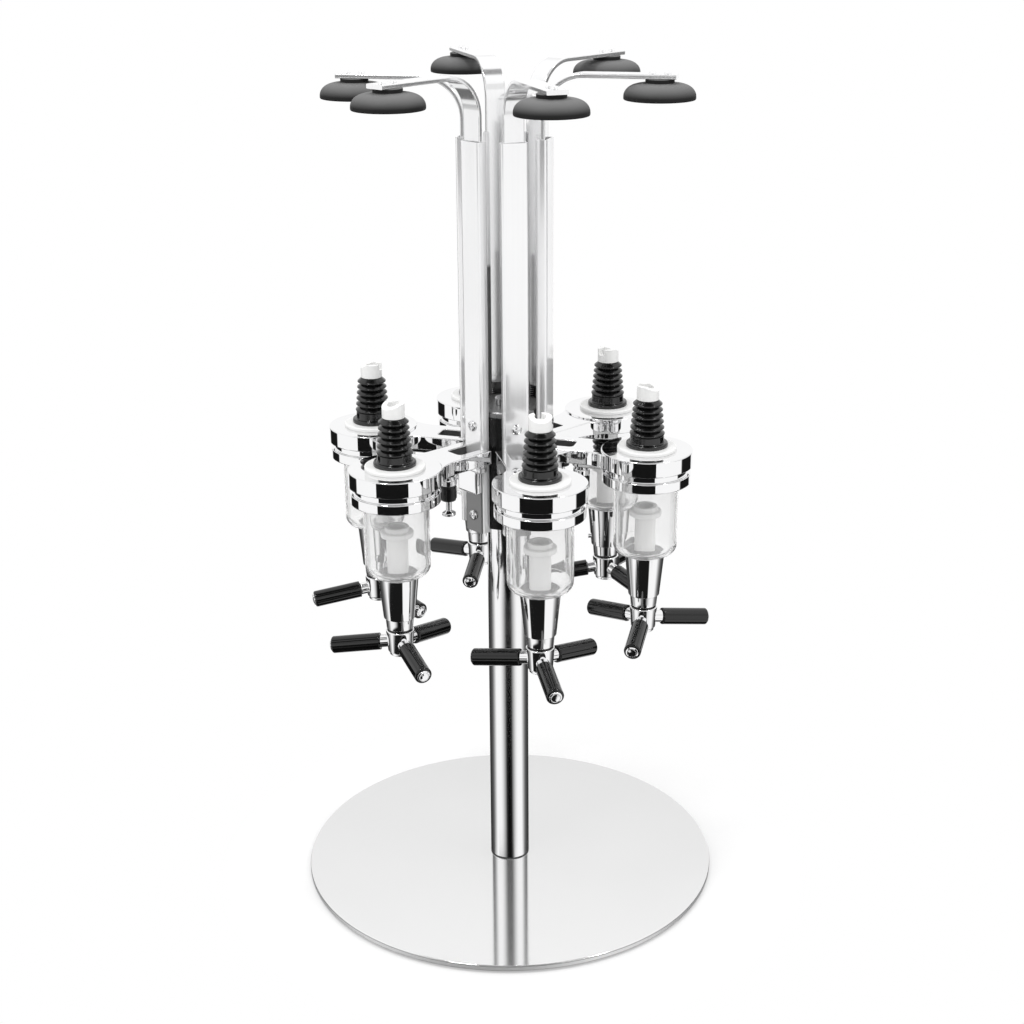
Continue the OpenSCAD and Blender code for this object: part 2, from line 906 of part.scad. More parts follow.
module bottle_pad(i) {
    pad_x = arm_reach - channel_mid - pad_back;
    pad_r = pad_d / 2;
    color("dimgray")
        at_arm(i)
            translate([pad_x, 0, strip_under - pad_neck_h - pad_h])
                rotate_extrude()
                    union() {
                        square([pad_r - pad_round, pad_h]);
                        square([pad_r, pad_h - pad_round]);
                        intersection() {
                            translate([pad_r - pad_round, pad_h - pad_round])
                                circle(r = pad_round);
                            translate([pad_r - pad_round, 0])
                                square([pad_round, pad_h]);
                        }
                        square([pad_neck_d / 2, pad_h + pad_neck_h]);
                    }
}

module valve_stem(i) {
    lip_top = lever_low - near;
    lip_low = lip_top - stem_lip_h;
    sleeve_top = spout_low + stem_engage;
    disc_low = spout_top + near;
    disc_r = valve_bore - disc_gap;
    color("silver")
        at_measure(i)
            difference() {
                turned([
                    [0, lip_low], [stem_lip_r, lip_low], [stem_lip_r, lip_top], [spindle_d / 2, lip_top],
                    [spindle_d / 2, neck_low], [neck_r, neck_low], [neck_r, sleeve_top], [rod_r, sleeve_top],
                    [rod_r, disc_low], [disc_r, disc_low],
                    [disc_r, disc_low + disc_t], [rod_r, disc_low + disc_t],
                    [rod_r, spout_top + rod_rise], [0, spout_top + rod_rise]
                ]);
                translate([0, 0, lip_low - cut])
                    cylinder(r = stem_bore, h = spout_top + stem_bore_top - lip_low + cut);
            }
}

// Puts its children along each of a measure's three levers: local +X is the lever's axis
module each_lever(i) {
    at_measure(i)
        for (k = [0:lever_count - 1])
            rotate([0, 0, lever_turns[i - 1] + k * 360 / lever_count])
                translate([0, 0, lever_root])
                    rotate([0, lever_droop, 0])
                        children();
}

module lever_hub(i) {
    edge_r = lever_hub_r - lever_edge;
    rod_start = lever_hub_r - rod_inset;
    grip_end = grip_start + grip_l;
    color("silver")
        difference() {
            union() {
                at_measure(i)
                    turned([
                        [0, lever_low], [edge_r, lever_low], [lever_hub_r, lever_low + lever_edge],
                        [lever_hub_r, lever_top - lever_edge], [edge_r, lever_top], [0, lever_top]
                    ]);
                each_lever(i) {
                    bar_x(lever_rod_d / 2, rod_start, grip_start - near - rod_start);
                    bar_x(rod_core_r, rod_start, grip_end + cut - rod_start);
                    bar_x(plug_d / 2, grip_end + seat, plug_h);
                }
            }
            at_measure(i)
                translate([0, 0, lever_low - cut])
                    cylinder(r = lever_bore, h = lever_hub_h + 2 * cut);
        }
}

// Half section of a grip along its axis: length, then radius
module grip_section() {
    r = grip_d / 2;
    bore = rod_core_r + seat;
    polygon([
        [bore, 0], [r - grip_bevel, 0], [r, grip_bevel], [r, grip_l - grip_round],
        [r - grip_round * 0.3, grip_l - grip_round * 0.3], [r - grip_round, grip_l], [bore, grip_l]
    ]);
}

module lever_grips(i) {
    color("black")
        each_lever(i)
            translate([grip_start, 0, 0])
                rotate([0, 90, 0])
                    rotate_extrude()
                        grip_section();
}

module release_pin(i) {
    pull_top = pin_body_low - pull_gap;
    color("silver")
        at_station(i)
            translate([pin_x, 0, 0])
                turned([
                    [0, pull_top - pull_t], [pull_d / 2 - pull_t * 0.2, pull_top - pull_t],
                    [pull_d / 2, pull_top - pull_t * 0.8], [pull_d / 2, pull_top - pull_t * 0.4],
                    [pin_r, pull_top], [pin_r, collar_low + pin_socket], [0, collar_low + pin_socket]
                ]);
}

base_plate();
foot_pad();
post();
foot_plug();
base_bolt();
top_plug();
thrust_washer();
pivot_screw();
hub();
hub_bushes();
hub_cap();
rails();
mounting_screws();
bracket_arms();
clamp_rings();
seal_washers();
bottle_corks();
inlet_tubes();
measure_chambers();
valve_tubes();
spouts();
valve_springs();
arm_springs();
pin_bodies();
for (i = [1:stations]) {
    bottle_arm(i);
    bottle_pad(i);
    valve_stem(i);
    lever_hub(i);
    lever_grips(i);
    release_pin(i);
}
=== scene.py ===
# %% [markdown]
# # A rotary liquor dispenser, dressed in Blender
# The stand is already built as solids, so this lesson loads them as a fixed frame and gives each its finish.
# Where a piece needs softer edges or a form that solids lack, a new mesh of the same size takes its place.
# All sizes below are millimetres, and the mesh builders turn them into Blender's metres.

# %% Load the frame
import json
import math

import bmesh
import bpy
from mathutils import Matrix, Vector


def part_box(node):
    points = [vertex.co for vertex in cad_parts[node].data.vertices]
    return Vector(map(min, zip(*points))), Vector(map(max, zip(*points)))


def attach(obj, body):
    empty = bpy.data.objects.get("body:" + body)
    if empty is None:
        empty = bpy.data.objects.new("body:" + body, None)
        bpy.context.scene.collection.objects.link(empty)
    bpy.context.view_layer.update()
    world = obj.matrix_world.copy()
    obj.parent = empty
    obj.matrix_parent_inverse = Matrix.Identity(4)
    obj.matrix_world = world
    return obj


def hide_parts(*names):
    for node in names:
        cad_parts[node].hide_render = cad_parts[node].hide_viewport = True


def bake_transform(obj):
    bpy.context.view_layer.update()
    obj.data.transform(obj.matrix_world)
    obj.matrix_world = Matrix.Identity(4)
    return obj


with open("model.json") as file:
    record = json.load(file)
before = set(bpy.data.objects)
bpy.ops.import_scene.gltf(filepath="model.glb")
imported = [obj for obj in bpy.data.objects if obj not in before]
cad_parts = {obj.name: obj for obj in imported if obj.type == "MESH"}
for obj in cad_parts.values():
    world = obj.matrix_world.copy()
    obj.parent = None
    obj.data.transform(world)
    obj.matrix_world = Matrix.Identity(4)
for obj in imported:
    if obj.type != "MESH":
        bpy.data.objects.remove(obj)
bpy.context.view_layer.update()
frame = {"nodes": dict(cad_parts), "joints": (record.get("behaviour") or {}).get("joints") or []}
MM = 0.001
STATIONS = 6
ALL = range(1, STATIONS + 1)

# %% [markdown]
# ## Sizes from the frame
# The solids say where everything is: a node's box gives its heights and its reach.
# The levers' joints give the circle that the measures stand on.
# Reading them here keeps the dressed pieces where the solids are, whatever the stand's size.

# %% Read the main sizes


def box_mm(node):
    """Lowest and highest corner of a node in millimetres."""
    low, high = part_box(node)
    return low / MM, high / MM


def heights(node):
    """Lowest and highest level of a node."""
    return [corner.z for corner in box_mm(node)]


def half_width(node):
    return box_mm(node)[1].x


def outreach(node):
    """How far a node comes out at station 1, which looks along negative Y."""
    return -box_mm(node)[0].y


joints = {joint["name"]: joint for joint in frame["joints"]}
MEASURE_R = -joints["lever_turn_1"]["pos_m"][1] / MM
PLATE_R, (PLATE_LOW, PLATE_TOP) = half_width("base_plate"), heights("base_plate")
POST_R, POST_TOP = half_width("post"), heights("post")[1]
RAIL_OUT, (RAIL_LOW, RAIL_TOP) = outreach("rails"), heights("rails")
BLOCK_LOW, COLLAR_TOP = heights("bracket_arms")
NUT_LOW, COLLAR_LOW = heights("clamp_rings")
COLLAR_R = outreach("bracket_arms") - MEASURE_R
CLAMP_R = outreach("clamp_rings") - MEASURE_R
SPOUT_LOW, SPOUT_TOP = heights("spouts")
CORK_LOW, CORK_TOP = heights("bottle_corks")
STRIP_LOW = heights("bottle_arm_1")[0]
PAD_LOW, PAD_TOP = heights("bottle_pad_1")
SLIP = 0.05
print("measures on a circle of", round(MEASURE_R, 1), "collar top at", round(COLLAR_TOP, 1))

# %% [markdown]
# ## Camera
# The camera was solved from the round base, the corks and the collars in the photograph.
# It stands a little left of the first measure and looks down by about twenty degrees.
# Building its matrix from three axes keeps the small roll that a look-at helper would lose.

# %% Place the camera
CAMERA_DISTANCE = 1166.1
CAMERA_HEIGHT = 715.8
CAMERA_AZIMUTH = math.radians(-12.27)
CAMERA_PITCH = math.radians(20.31)
CAMERA_YAW = math.radians(0.163)
CAMERA_ROLL = math.radians(-0.394)
SENSOR = 36.0
LENS = 60.8

turn = Matrix.Rotation(CAMERA_AZIMUTH, 3, "Z")
sight = turn @ Vector((math.sin(CAMERA_YAW) * math.cos(CAMERA_PITCH),
                       math.cos(CAMERA_YAW) * math.cos(CAMERA_PITCH), -math.sin(CAMERA_PITCH)))
level = turn @ Vector((math.cos(CAMERA_YAW), -math.sin(CAMERA_YAW), 0))
upright = level.cross(sight)
right = math.cos(CAMERA_ROLL) * level + math.sin(CAMERA_ROLL) * upright
up = math.cos(CAMERA_ROLL) * upright - math.sin(CAMERA_ROLL) * level

camera = bpy.data.objects.new("camera", bpy.data.cameras.new("camera"))
camera.data.sensor_width = SENSOR
camera.data.lens = LENS
place = Matrix((right, up, -sight)).transposed().to_4x4()
place.translation = turn @ Vector((0, -CAMERA_DISTANCE * MM, CAMERA_HEIGHT * MM))
camera.matrix_world = place
bpy.context.scene.collection.objects.link(camera)
bpy.context.scene.camera = camera
print("camera at", [round(x, 3) for x in camera.location])

# %% [markdown]
# ## Node helpers
# Trees of nodes make the world, the finishes and the copies, so a few helpers keep them short.
# One adds a node, puts settings on it and feeds its inputs with values or with other nodes' outputs.
# The others name what comes back most: arithmetic, vectors, ranges, mixes and whole groups.

# %% Make the node helpers


def feed(tree, value, socket):
    """Links an output to an input, or puts a plain value on it."""
    if isinstance(value, bpy.types.NodeSocket):
        tree.links.new(value, socket)
    else:
        socket.default_value = value


def add(tree, kind, inputs=(), **settings):
    """New node with settings on it and its inputs fed by name or number; gives its outputs."""
    node = tree.nodes.new(kind)
    for label, value in settings.items():
        setattr(node, label, value)
    for label, value in dict(inputs).items():
        feed(tree, value, node.inputs[label])
    return node.outputs


def math_node(tree, operation, *values):
    return add(tree, "ShaderNodeMath", enumerate(values), operation=operation)[0]


def vector_node(tree, operation, *values):
    return add(tree, "ShaderNodeVectorMath", enumerate(values), operation=operation)


def mix_colour(tree, factor, first, second):
    return add(tree, "ShaderNodeMix", {"Factor": factor, 6: first, 7: second}, data_type="RGBA")[2]


def spread(tree, value, low, high, start=0.3, end=0.7):
    """Maps a value from start and end to low and high."""
    ranges = {"Value": value, "From Min": start, "From Max": end, "To Min": low, "To Max": high}
    return add(tree, "ShaderNodeMapRange", ranges)[0]


def new_group(name, kind, inputs, outputs):
    """Node group whose inputs are named with a type or a first number; gives it and its two ends."""
    tree = bpy.data.node_groups.new(name, kind + "NodeTree")
    for label, start in inputs.items():
        typed = isinstance(start, str)
        socket = tree.interface.new_socket(
            label, in_out="INPUT", socket_type="NodeSocket" + (start if typed else "Float"))
        if not typed:
            socket.default_value = start
    for label in outputs:
        result = "NodeSocketGeometry" if kind == "Geometry" else "NodeSocketFloat"
        tree.interface.new_socket(label, in_out="OUTPUT", socket_type=result)
    return tree, tree.nodes.new("NodeGroupInput").outputs, tree.nodes.new("NodeGroupOutput").inputs


def grey(level):
    return (level, level, level)


def base_material(name, colour, metallic=0.0, **fixed):
    """Principled material with constants on its sockets; gives it, its tree, inputs and coordinates."""
    material = bpy.data.materials.new(name)
    material.use_nodes = True
    tree = material.node_tree
    inputs = tree.nodes["Principled BSDF"].inputs
    inputs["Base Color"].default_value = (*colour, 1)
    inputs["Metallic"].default_value = metallic
    for label, value in fixed.items():
        inputs[label.replace("_", " ")].default_value = value
    return material, tree, inputs, add(tree, "ShaderNodeTexCoord")["Object"]


print("node helpers ready")

# %% [markdown]
# ## Studio
# Chrome shows the room round it, so the room is part of the finish.
# This one is a white tent with dark gaps: low in front, one on each side and a small one over the camera.
# The gaps are drawn in the world by direction, for glossy rays alone, because real cards would hide other views.
# The wall behind is pale in a first reflection, which keeps the base bright from every side.
# In a second one it is banded, because there the base mirrors the post, and the post mirrors the room.
# Camera rays see plain white, rays through clear plastic see greyer sides, and matt surfaces get soft top light.

# %% Build the world
WHITE = (1, 1, 1, 1)
DARK, UNDER = 0.01, 0.03
AMBIENT, AMBIENT_RISE = (0.88, 1.08), (-10, 70)
DEGREE = math.degrees(1)
# Each wall is a list of azimuth in degrees from the camera's side, and grey level.
LEFT_GAP = [(-180, 1), (-150, 1), (-146, DARK), (-107, DARK), (-104, 1)]
RIGHT_GAP = [(92, 1), (95, DARK), (140, DARK), (143, 1), (180, 1)]
FLOOR_GAP = [(-72, 1), (-68, DARK), (25, DARK), (29, 1)]
HEAD_GAP = [(-180, 1), (-49, 1), (-45, DARK), (30, DARK), (34, 1), (180, 1)]
EDGE_GAPS = [(-56, 1), (-50, DARK), (-20, DARK), (-14, 1), (62, 1), (68, DARK)]
CEILING = [(-180, 1), (-95, 1), (-85, 0.04), (85, 0.04), (95, 1), (180, 1)]
# These lists serve both sides.
POST_ROOM = [(0, 0), (14, 0.02), (22, 0.26), (33, 0.61), (40, 0.82), (52, 1), (78, 1), (98, 0.35), (112, 0.11)]
POST_BACK = [(133, 0.045), (180, 0.045)]
SIDE_WALL = [(0, 0.7), (40, 0.75), (80, 0.85)]
CLEAR_ROOM = [(0, 0.5), (100, 0.42), (128, 0.6), (150, 1), (180, 1)]
# Lowest and highest elevation in degrees, and softness; the wall behind gets paler upwards.
BACK_WALL = (22.5, 37, 1.5)
PALER, PALER_SHARE = (28, 35.5), 0.75

bpy.context.scene.view_settings.view_transform = "Standard"
world = bpy.data.worlds.new("white_tent")
bpy.context.scene.world = world
world.use_nodes = True
sky = world.node_tree
rays = add(sky, "ShaderNodeLightPath")
direction = add(sky, "ShaderNodeTexCoord")["Generated"]


def along(vector):
    return vector_node(sky, "DOT_PRODUCT", direction, vector)["Value"]


to_front, to_right = turn @ Vector((0, -1, 0)), turn @ Vector((1, 0, 0))
azimuth = math_node(sky, "MULTIPLY", math_node(sky, "ARCTAN2", along(to_right), along(to_front)), DEGREE)
azimuth_share = math_node(sky, "MULTIPLY", math_node(sky, "ADD", azimuth, 180), 1 / 360)
elevation = math_node(sky, "MULTIPLY", math_node(sky, "ARCSINE", along((0, 0, 1))), DEGREE)
again = math_node(sky, "GREATER_THAN", rays["Glossy Depth"], 1.5)


def room(levels):
    """Colour ramp that runs once round the stand."""
    node = sky.nodes.new("ShaderNodeValToRGB")
    elements = node.color_ramp.elements
    while len(elements) < len(levels):
        elements.new(0.5)
    for element, (angle, level) in zip(elements, levels):
        element.position = (angle + 180) / 360
        element.color = (*grey(level), 1)
    feed(sky, azimuth_share, node.inputs[0])
    return node.outputs[0]


def both_sides(levels):
    return room([(-angle, level) for angle, level in reversed(levels) if angle > 0] + levels)


def band(low, high, soft):
    """One between two elevations and nought outside, with soft sides."""
    rise = spread(sky, elevation, 0, 1, low - soft, low + soft)
    fall = spread(sky, elevation, 0, 1, high + soft, high - soft)
    return math_node(sky, "MULTIPLY", rise, fall)


def back_room(turning, side, middle):
    """The wall behind, plain in a first reflection and banded in a second."""
    end = [(142, side), (180, middle)]
    return mix_colour(sky, again, both_sides(SIDE_WALL + end), both_sides(POST_ROOM + [(128, turning)] + end))


LAYERS = [
    (-25, -9, 0.7, room(LEFT_GAP + RIGHT_GAP)),
    (-95, -61, 0.7, (*grey(UNDER), 1)),
    (-62, -29, 0.7, room(LEFT_GAP + FLOOR_GAP + RIGHT_GAP)),
    (-32, -22.3, 0.5, both_sides(POST_ROOM + POST_BACK)),
    (40, 58, 2, room(HEAD_GAP)),
    (-10, -2, 1, room(LEFT_GAP + EDGE_GAPS + RIGHT_GAP[2:])),
    (61, 86, 2, room(CEILING)),
    (*BACK_WALL, back_room(0.08, 0.8, 0.82)),
]
studio = WHITE
for low, high, soft, wall in LAYERS:
    studio = mix_colour(sky, band(low, high, soft), studio, wall)
paler = math_node(sky, "MULTIPLY", band(*BACK_WALL), spread(sky, elevation, 0, PALER_SHARE, *PALER))
studio = mix_colour(sky, paler, studio, back_room(0.1, 0.98, 1))
ambient = spread(sky, elevation, *AMBIENT, *AMBIENT_RISE)
seen = mix_colour(sky, rays["Is Glossy Ray"], ambient, studio)
seen = mix_colour(sky, rays["Is Transmission Ray"], seen, both_sides(CLEAR_ROOM))
seen = mix_colour(sky, rays["Is Camera Ray"], seen, WHITE)
feed(sky, seen, sky.nodes["Background"].inputs["Color"])
print("world has", len(sky.nodes), "nodes")

# %% [markdown]
# ## Floor, lamps and the dark card
# The floor is a pale disc that keeps the stand's shadow and fades to plain white away from it.
# Two soft lamps from above model the black rubber.
# A dark card in front gives the collars their crisp black blocks.
# The card is hidden from the camera and from matt surfaces, so it only works in reflections.

# %% Make the floor, the lamps and the card
FLOOR_R, FLOOR_SIDES = 1600, 96
SHADOW_R = (164, 225)
FLOOR_GREY, FLOOR_BOUNCE, FLOOR_LIFT = 0.6, 0.55, 0.36
CARD_Y, CARD_X, CARD_Z = -620, (-600, 300), (-30, 195)
LAMPS = {"key_lamp": ((-500, -500, 1700), 260, 6), "fill_lamp": ((800, -300, 1500), 200, 3)}
LAMP_AIM = Vector((0, 0, 350)) * MM


def stage_mesh(name, corners, faces, finish):
    mesh = bpy.data.meshes.new(name)
    mesh.from_pydata([Vector(corner) * MM for corner in corners], [], faces)
    mesh.materials.append(finish)
    obj = bpy.data.objects.new(name, mesh)
    bpy.context.scene.collection.objects.link(obj)
    return obj


paper = bpy.data.materials.new("pale_floor")
paper.use_nodes = True
tree = paper.node_tree
tree.nodes.clear()
path = add(tree, "ShaderNodeLightPath")
shown = path["Is Camera Ray"]
dim = mix_colour(tree, path["Is Diffuse Ray"], (*grey(FLOOR_GREY), 1), (*grey(FLOOR_BOUNCE), 1))
matt = add(tree, "ShaderNodeBsdfDiffuse", {"Color": dim})[0]
glow = add(tree, "ShaderNodeEmission", {"Strength": math_node(tree, "MULTIPLY", shown, FLOOR_LIFT)})[0]
near = add(tree, "ShaderNodeAddShader", {0: matt, 1: glow})[0]
away = vector_node(tree, "LENGTH", add(tree, "ShaderNodeTexCoord")["Object"])["Value"]
fade = add(tree, "ShaderNodeMapRange", {
    "Value": away, "From Min": SHADOW_R[0] * MM, "From Max": SHADOW_R[1] * MM}, interpolation_type="SMOOTHSTEP")[0]
share = math_node(tree, "MULTIPLY", fade, shown)
surface = add(tree, "ShaderNodeMixShader", {0: share, 1: near, 2: add(tree, "ShaderNodeEmission")[0]})[0]
add(tree, "ShaderNodeOutputMaterial", {"Surface": surface})

angles = [math.tau * i / FLOOR_SIDES for i in range(FLOOR_SIDES)]
floor_rim = [(FLOOR_R * math.cos(a), FLOOR_R * math.sin(a), 0) for a in angles]
floor = stage_mesh("floor", floor_rim, [range(FLOOR_SIDES)], paper)
card_corners = [turn @ Vector((x, CARD_Y, z)) for z in CARD_Z for x in CARD_X]
black = base_material("dark_card", grey(DARK), Specular_IOR_Level=0)[0]
card = stage_mesh("dark_card", card_corners, [(0, 1, 3, 2)], black)
for obj, ways in ((floor, ("glossy", "transmission")), (card, ("camera", "diffuse", "transmission", "shadow"))):
    for way in ways:
        setattr(obj, "visible_" + way, False)

for name, (spot, size, power) in LAMPS.items():
    lamp = bpy.data.lights.new(name, "AREA")
    lamp.size = size * MM
    lamp.energy = power
    obj = bpy.data.objects.new(name, lamp)
    obj.location = turn @ Vector(spot) * MM
    obj.rotation_euler = (LAMP_AIM - obj.location).to_track_quat("-Z", "Y").to_euler()
    bpy.context.scene.collection.objects.link(obj)
print("stage:", floor.name, card.name, list(LAMPS))

# %% [markdown]
# ## Mesh builders
# Most pieces are turned on a lathe or sawn from plate, so two builders make nearly everything.
# A turned piece is an outline of radius and height swept round Z, and a sawn one is a plan given a thickness.
# Real edges are never sharp, and chrome shows it, so each corner of an outline carries its own rounding.

# %% Outlines and builders
ARC_STEPS, BEVEL_STEPS = 6, 3
# An arc takes at most this share of a side, and the point that holds the flat beside it this share of the arc.
ARC_SHARE, HOLD_SHARE = 0.48, 0.2
TOUCH = 1e-6


def rounded(corners, closed=False):
    """Points through corners of (x, y, rounding), with arcs and a holding point beside each arc."""
    points = []
    for i, (x, y, radius) in enumerate(corners):
        here = Vector((x, y))
        if radius == 0 or (not closed and i in (0, len(corners) - 1)):
            points.append(here)
            continue
        back = Vector(corners[i - 1][:2]) - here
        onward = Vector(corners[(i + 1) % len(corners)][:2]) - here
        half = back.angle(onward) / 2
        reach = min(radius / math.tan(half), ARC_SHARE * back.length, ARC_SHARE * onward.length)
        hold = HOLD_SHARE * reach * min(1, (min(back.length, onward.length) / reach - 2) / 2)
        back.normalize()
        onward.normalize()
        start = here + back * reach
        centre = here + (back + onward).normalized() * reach / math.cos(half)
        sweep = math.copysign(math.pi - 2 * half, onward.cross(back))
        points.append(start + back * hold)
        for step in range(ARC_STEPS + 1):
            points.append(centre + Matrix.Rotation(sweep * step / ARC_STEPS, 2) @ (start - centre))
        points.append(here + onward * (reach + hold))
    return points


def bridge(bm, low, high):
    """Faces between two rings of vertices; a ring of one vertex is a pole."""
    for i in range(max(len(low), len(high))):
        corner = [low[i % len(low)], low[(i + 1) % len(low)], high[(i + 1) % len(high)], high[i % len(high)]]
        corner = list(dict.fromkeys(corner))
        if len(corner) > 2:
            bm.faces.new(corner)


def turned(corners, closed=False, segments=96):
    """Solid swept round Z from an outline that runs outwards, up and back, as (radius, height, rounding)."""
    bm = bmesh.new()
    rows = []
    for r, z in rounded(corners, closed):
        angles = [math.tau * i / segments for i in range(1 if r < TOUCH else segments)]
        rows.append([bm.verts.new((r * MM * math.cos(a), r * MM * math.sin(a), z * MM)) for a in angles])
    for low, high in zip(rows, rows[1:] + rows[:1] if closed else rows[1:]):
        bridge(bm, low, high)
    return bm


def ring(inner, outer, low, high, edges, segments):
    """Turned ring; its corners are rounded by edges, from the inner lower one outwards, up and back."""
    corners = ((inner, low), (outer, low), (outer, high), (inner, high))
    return turned([(*corner, edge) for corner, edge in zip(corners, edges)], True, segments)


def swept(section, frames):
    """Solid from a closed section of (side, height) carried along frames, with flat ends."""
    bm = bmesh.new()
    rows = [[bm.verts.new(at @ Vector((0, *point)) * MM) for point in section] for at in frames]
    for low, high in zip(rows, rows[1:]):
        bridge(bm, low, high)
    bm.faces.new(reversed(rows[0]))
    bm.faces.new(rows[-1])
    bmesh.ops.recalc_face_normals(bm, faces=bm.faces)
    return bm


def sawn(outline, low, high, edge, holes=()):
    """Plate between two heights with a plan outline, holes and rounded edges."""
    curve = bpy.data.curves.new("plan", "CURVE")
    curve.dimensions = "2D"
    curve.fill_mode = "BOTH"
    curve.bevel_depth = edge * MM
    curve.bevel_resolution = BEVEL_STEPS
    curve.offset = -edge * MM
    curve.extrude = ((high - low) / 2 - edge) * MM
    for points in (outline, *holes):
        spline = curve.splines.new("POLY")
        spline.points.add(len(points) - 1)
        for target, point in zip(spline.points, points):
            target.co = (point[0] * MM, point[1] * MM, 0, 1)
        spline.use_cyclic_u = True
    holder = bpy.data.objects.new("plan", curve)
    bpy.context.scene.collection.objects.link(holder)
    plate = bpy.data.meshes.new_from_object(holder.evaluated_get(bpy.context.evaluated_depsgraph_get()))
    bpy.data.objects.remove(holder)
    bm = bmesh.new()
    bm.from_mesh(plate)
    bpy.data.meshes.remove(plate)
    bmesh.ops.remove_doubles(bm, verts=bm.verts, dist=TOUCH)
    return moved(bm, shift(0, 0, (low + high) / 2))


def block(low, high, edge):
    """Box between two corners with rounded edges."""
    bm = bmesh.new()
    bmesh.ops.create_cube(bm, size=1)
    low, high = Vector(low) * MM, Vector(high) * MM
    bmesh.ops.scale(bm, vec=high - low, verts=bm.verts)
    bmesh.ops.translate(bm, vec=(low + high) / 2, verts=bm.verts)
    bmesh.ops.bevel(bm, geom=bm.edges[:], offset=edge * MM, segments=BEVEL_STEPS, profile=0.5, affect="EDGES")
    return bm


def moved(bm, matrix):
    bmesh.ops.transform(bm, matrix=matrix, verts=bm.verts)
    return bm


def joined(parts):
    """One mesh out of several, which are used up."""
    whole = bmesh.new()
    for part in parts:
        spare = bpy.data.meshes.new("spare")
        part.to_mesh(spare)
        part.free()
        whole.from_mesh(spare)
        bpy.data.meshes.remove(spare)
    return whole


def shift(x=0, y=0, z=0):
    return Matrix.Translation((x * MM, y * MM, z * MM))


def spin(angle, axis="Z"):
    return Matrix.Rotation(math.radians(angle), 4, axis)


def station(i):
    """Frame of a station, with local X outwards."""
    return spin(360 / STATIONS * (i - 1) - 90)


def measure(i):
    return station(i) @ shift(MEASURE_R)


print("builders ready")

# %% [markdown]
# ## Copies round the turntable
# The carousel carries six of nearly everything, so one Geometry Nodes tree places copies of a unit round Z.
# Its inputs are the unit, how many, the first angle and the finish.
# It ends in Realize Instances and Set Material, and the result becomes a plain mesh.
# Weighted normals keep flat faces flat beside their rounded edges.

# %% Build the tree and the finishing steps
SHARP_ANGLE = math.radians(38)
FIRST_STATION = -90


def finish_tree(tree, geometry, finish, target):
    real = add(tree, "GeometryNodeRealizeInstances", {0: geometry})[0]
    feed(tree, add(tree, "GeometryNodeSetMaterial", {"Geometry": real, "Material": finish})[0], target)


COPIES, ins, outs = new_group("copies_round_z", "Geometry", {
    "Unit": "Geometry", "Count": "Int", "First Angle": 0.0, "Finish": "Material"}, ["Copies"])
step = math_node(COPIES, "DIVIDE", math.tau, ins["Count"])
angle = math_node(COPIES, "MULTIPLY", add(COPIES, "GeometryNodeInputIndex")[0], step)
angle = math_node(COPIES, "ADD", angle, ins["First Angle"])
angle = add(COPIES, "ShaderNodeCombineXYZ", {"Z": angle})[0]
units = add(COPIES, "GeometryNodeInstanceOnPoints", {
    "Points": add(COPIES, "GeometryNodePoints", {"Count": ins["Count"]})[0], "Instance": ins["Unit"],
    "Rotation": add(COPIES, "FunctionNodeEulerToRotation", {0: angle})[0]})[0]
finish_tree(COPIES, units, ins["Finish"], outs[0])


def baked(obj):
    """The object's evaluated mesh as a plain one, with its modifiers gone."""
    mesh = bpy.data.meshes.new_from_object(obj.evaluated_get(bpy.context.evaluated_depsgraph_get()))
    obj.modifiers.clear()
    old, obj.data = obj.data, mesh
    bpy.data.meshes.remove(old)
    mesh.name = obj.name
    return obj


def new_object(name, bm, finish):
    mesh = bpy.data.meshes.new(name)
    bm.to_mesh(mesh)
    bm.free()
    mesh.materials.append(finish)
    obj = bpy.data.objects.new(name, mesh)
    bpy.context.scene.collection.objects.link(obj)
    return obj


def polished(obj):
    """Smooth shading that breaks at sharp edges and stays flat on flat faces."""
    obj.data.polygons.foreach_set("use_smooth", [True] * len(obj.data.polygons))
    obj.data.set_sharp_from_angle(angle=SHARP_ANGLE)
    obj.modifiers.new("weigh", "WEIGHTED_NORMAL").keep_sharp = True
    return baked(obj)


def grown(obj, tree, values):
    """The object's mesh put through a tree with named inputs, kept as one plain mesh."""
    modifier = obj.modifiers.new(tree.name, "NODES")
    modifier.node_group = tree
    for item in tree.interface.items_tree:
        if item.in_out == "INPUT" and item.name in values:
            modifier[item.identifier] = values[item.name]
    return baked(obj)


def copies(obj, count, first_angle, finish):
    return grown(obj, COPIES, {"Count": count, "First Angle": math.radians(first_angle), "Finish": finish})


def dressed(obj, body, slot, *nodes):
    """Puts a finished piece on its body and hides any solids that it stands for; slot is not used."""
    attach(obj, body)
    if nodes:
        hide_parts(*nodes)
    print(obj.name, "faces:", len(obj.data.polygons))
    return obj


def single_piece(name, unit, finish, body, slot, *nodes):
    return dressed(polished(new_object(name, unit, finish)), body, slot, *nodes)


def carousel_piece(name, unit, finish, slot, *nodes, out=0):
    """Six copies of a unit, built on an axis that stands out at station 1, riding on the carousel."""
    obj = copies(new_object(name, moved(unit, shift(out)), finish), STATIONS, FIRST_STATION, finish)
    return dressed(polished(obj), "carousel", slot, *nodes)


print("trees:", COPIES.name)

# %% [markdown]
# ## Shared surface effects
# Three effects come back in many finishes, so each is a node group with named inputs.
# Haze is the faint cloud of handling that makes one spot of metal a little duller than the next.
# Grain is the line that brushing leaves, fine across and long along.
# Speckle is the skin of moulded rubber and plastic.

# %% Make the shader groups
STREAK_LOW = 0.975
CLOUD_SCALE = 45


def noise(tree, vector, scale, detail=3.0):
    return add(tree, "ShaderNodeTexNoise", {"Vector": vector, "Scale": scale, "Detail": detail})[0]


def effect(name, outputs, **inputs):
    return new_group(name, "Shader", {"Vector": "Vector", **inputs}, outputs)


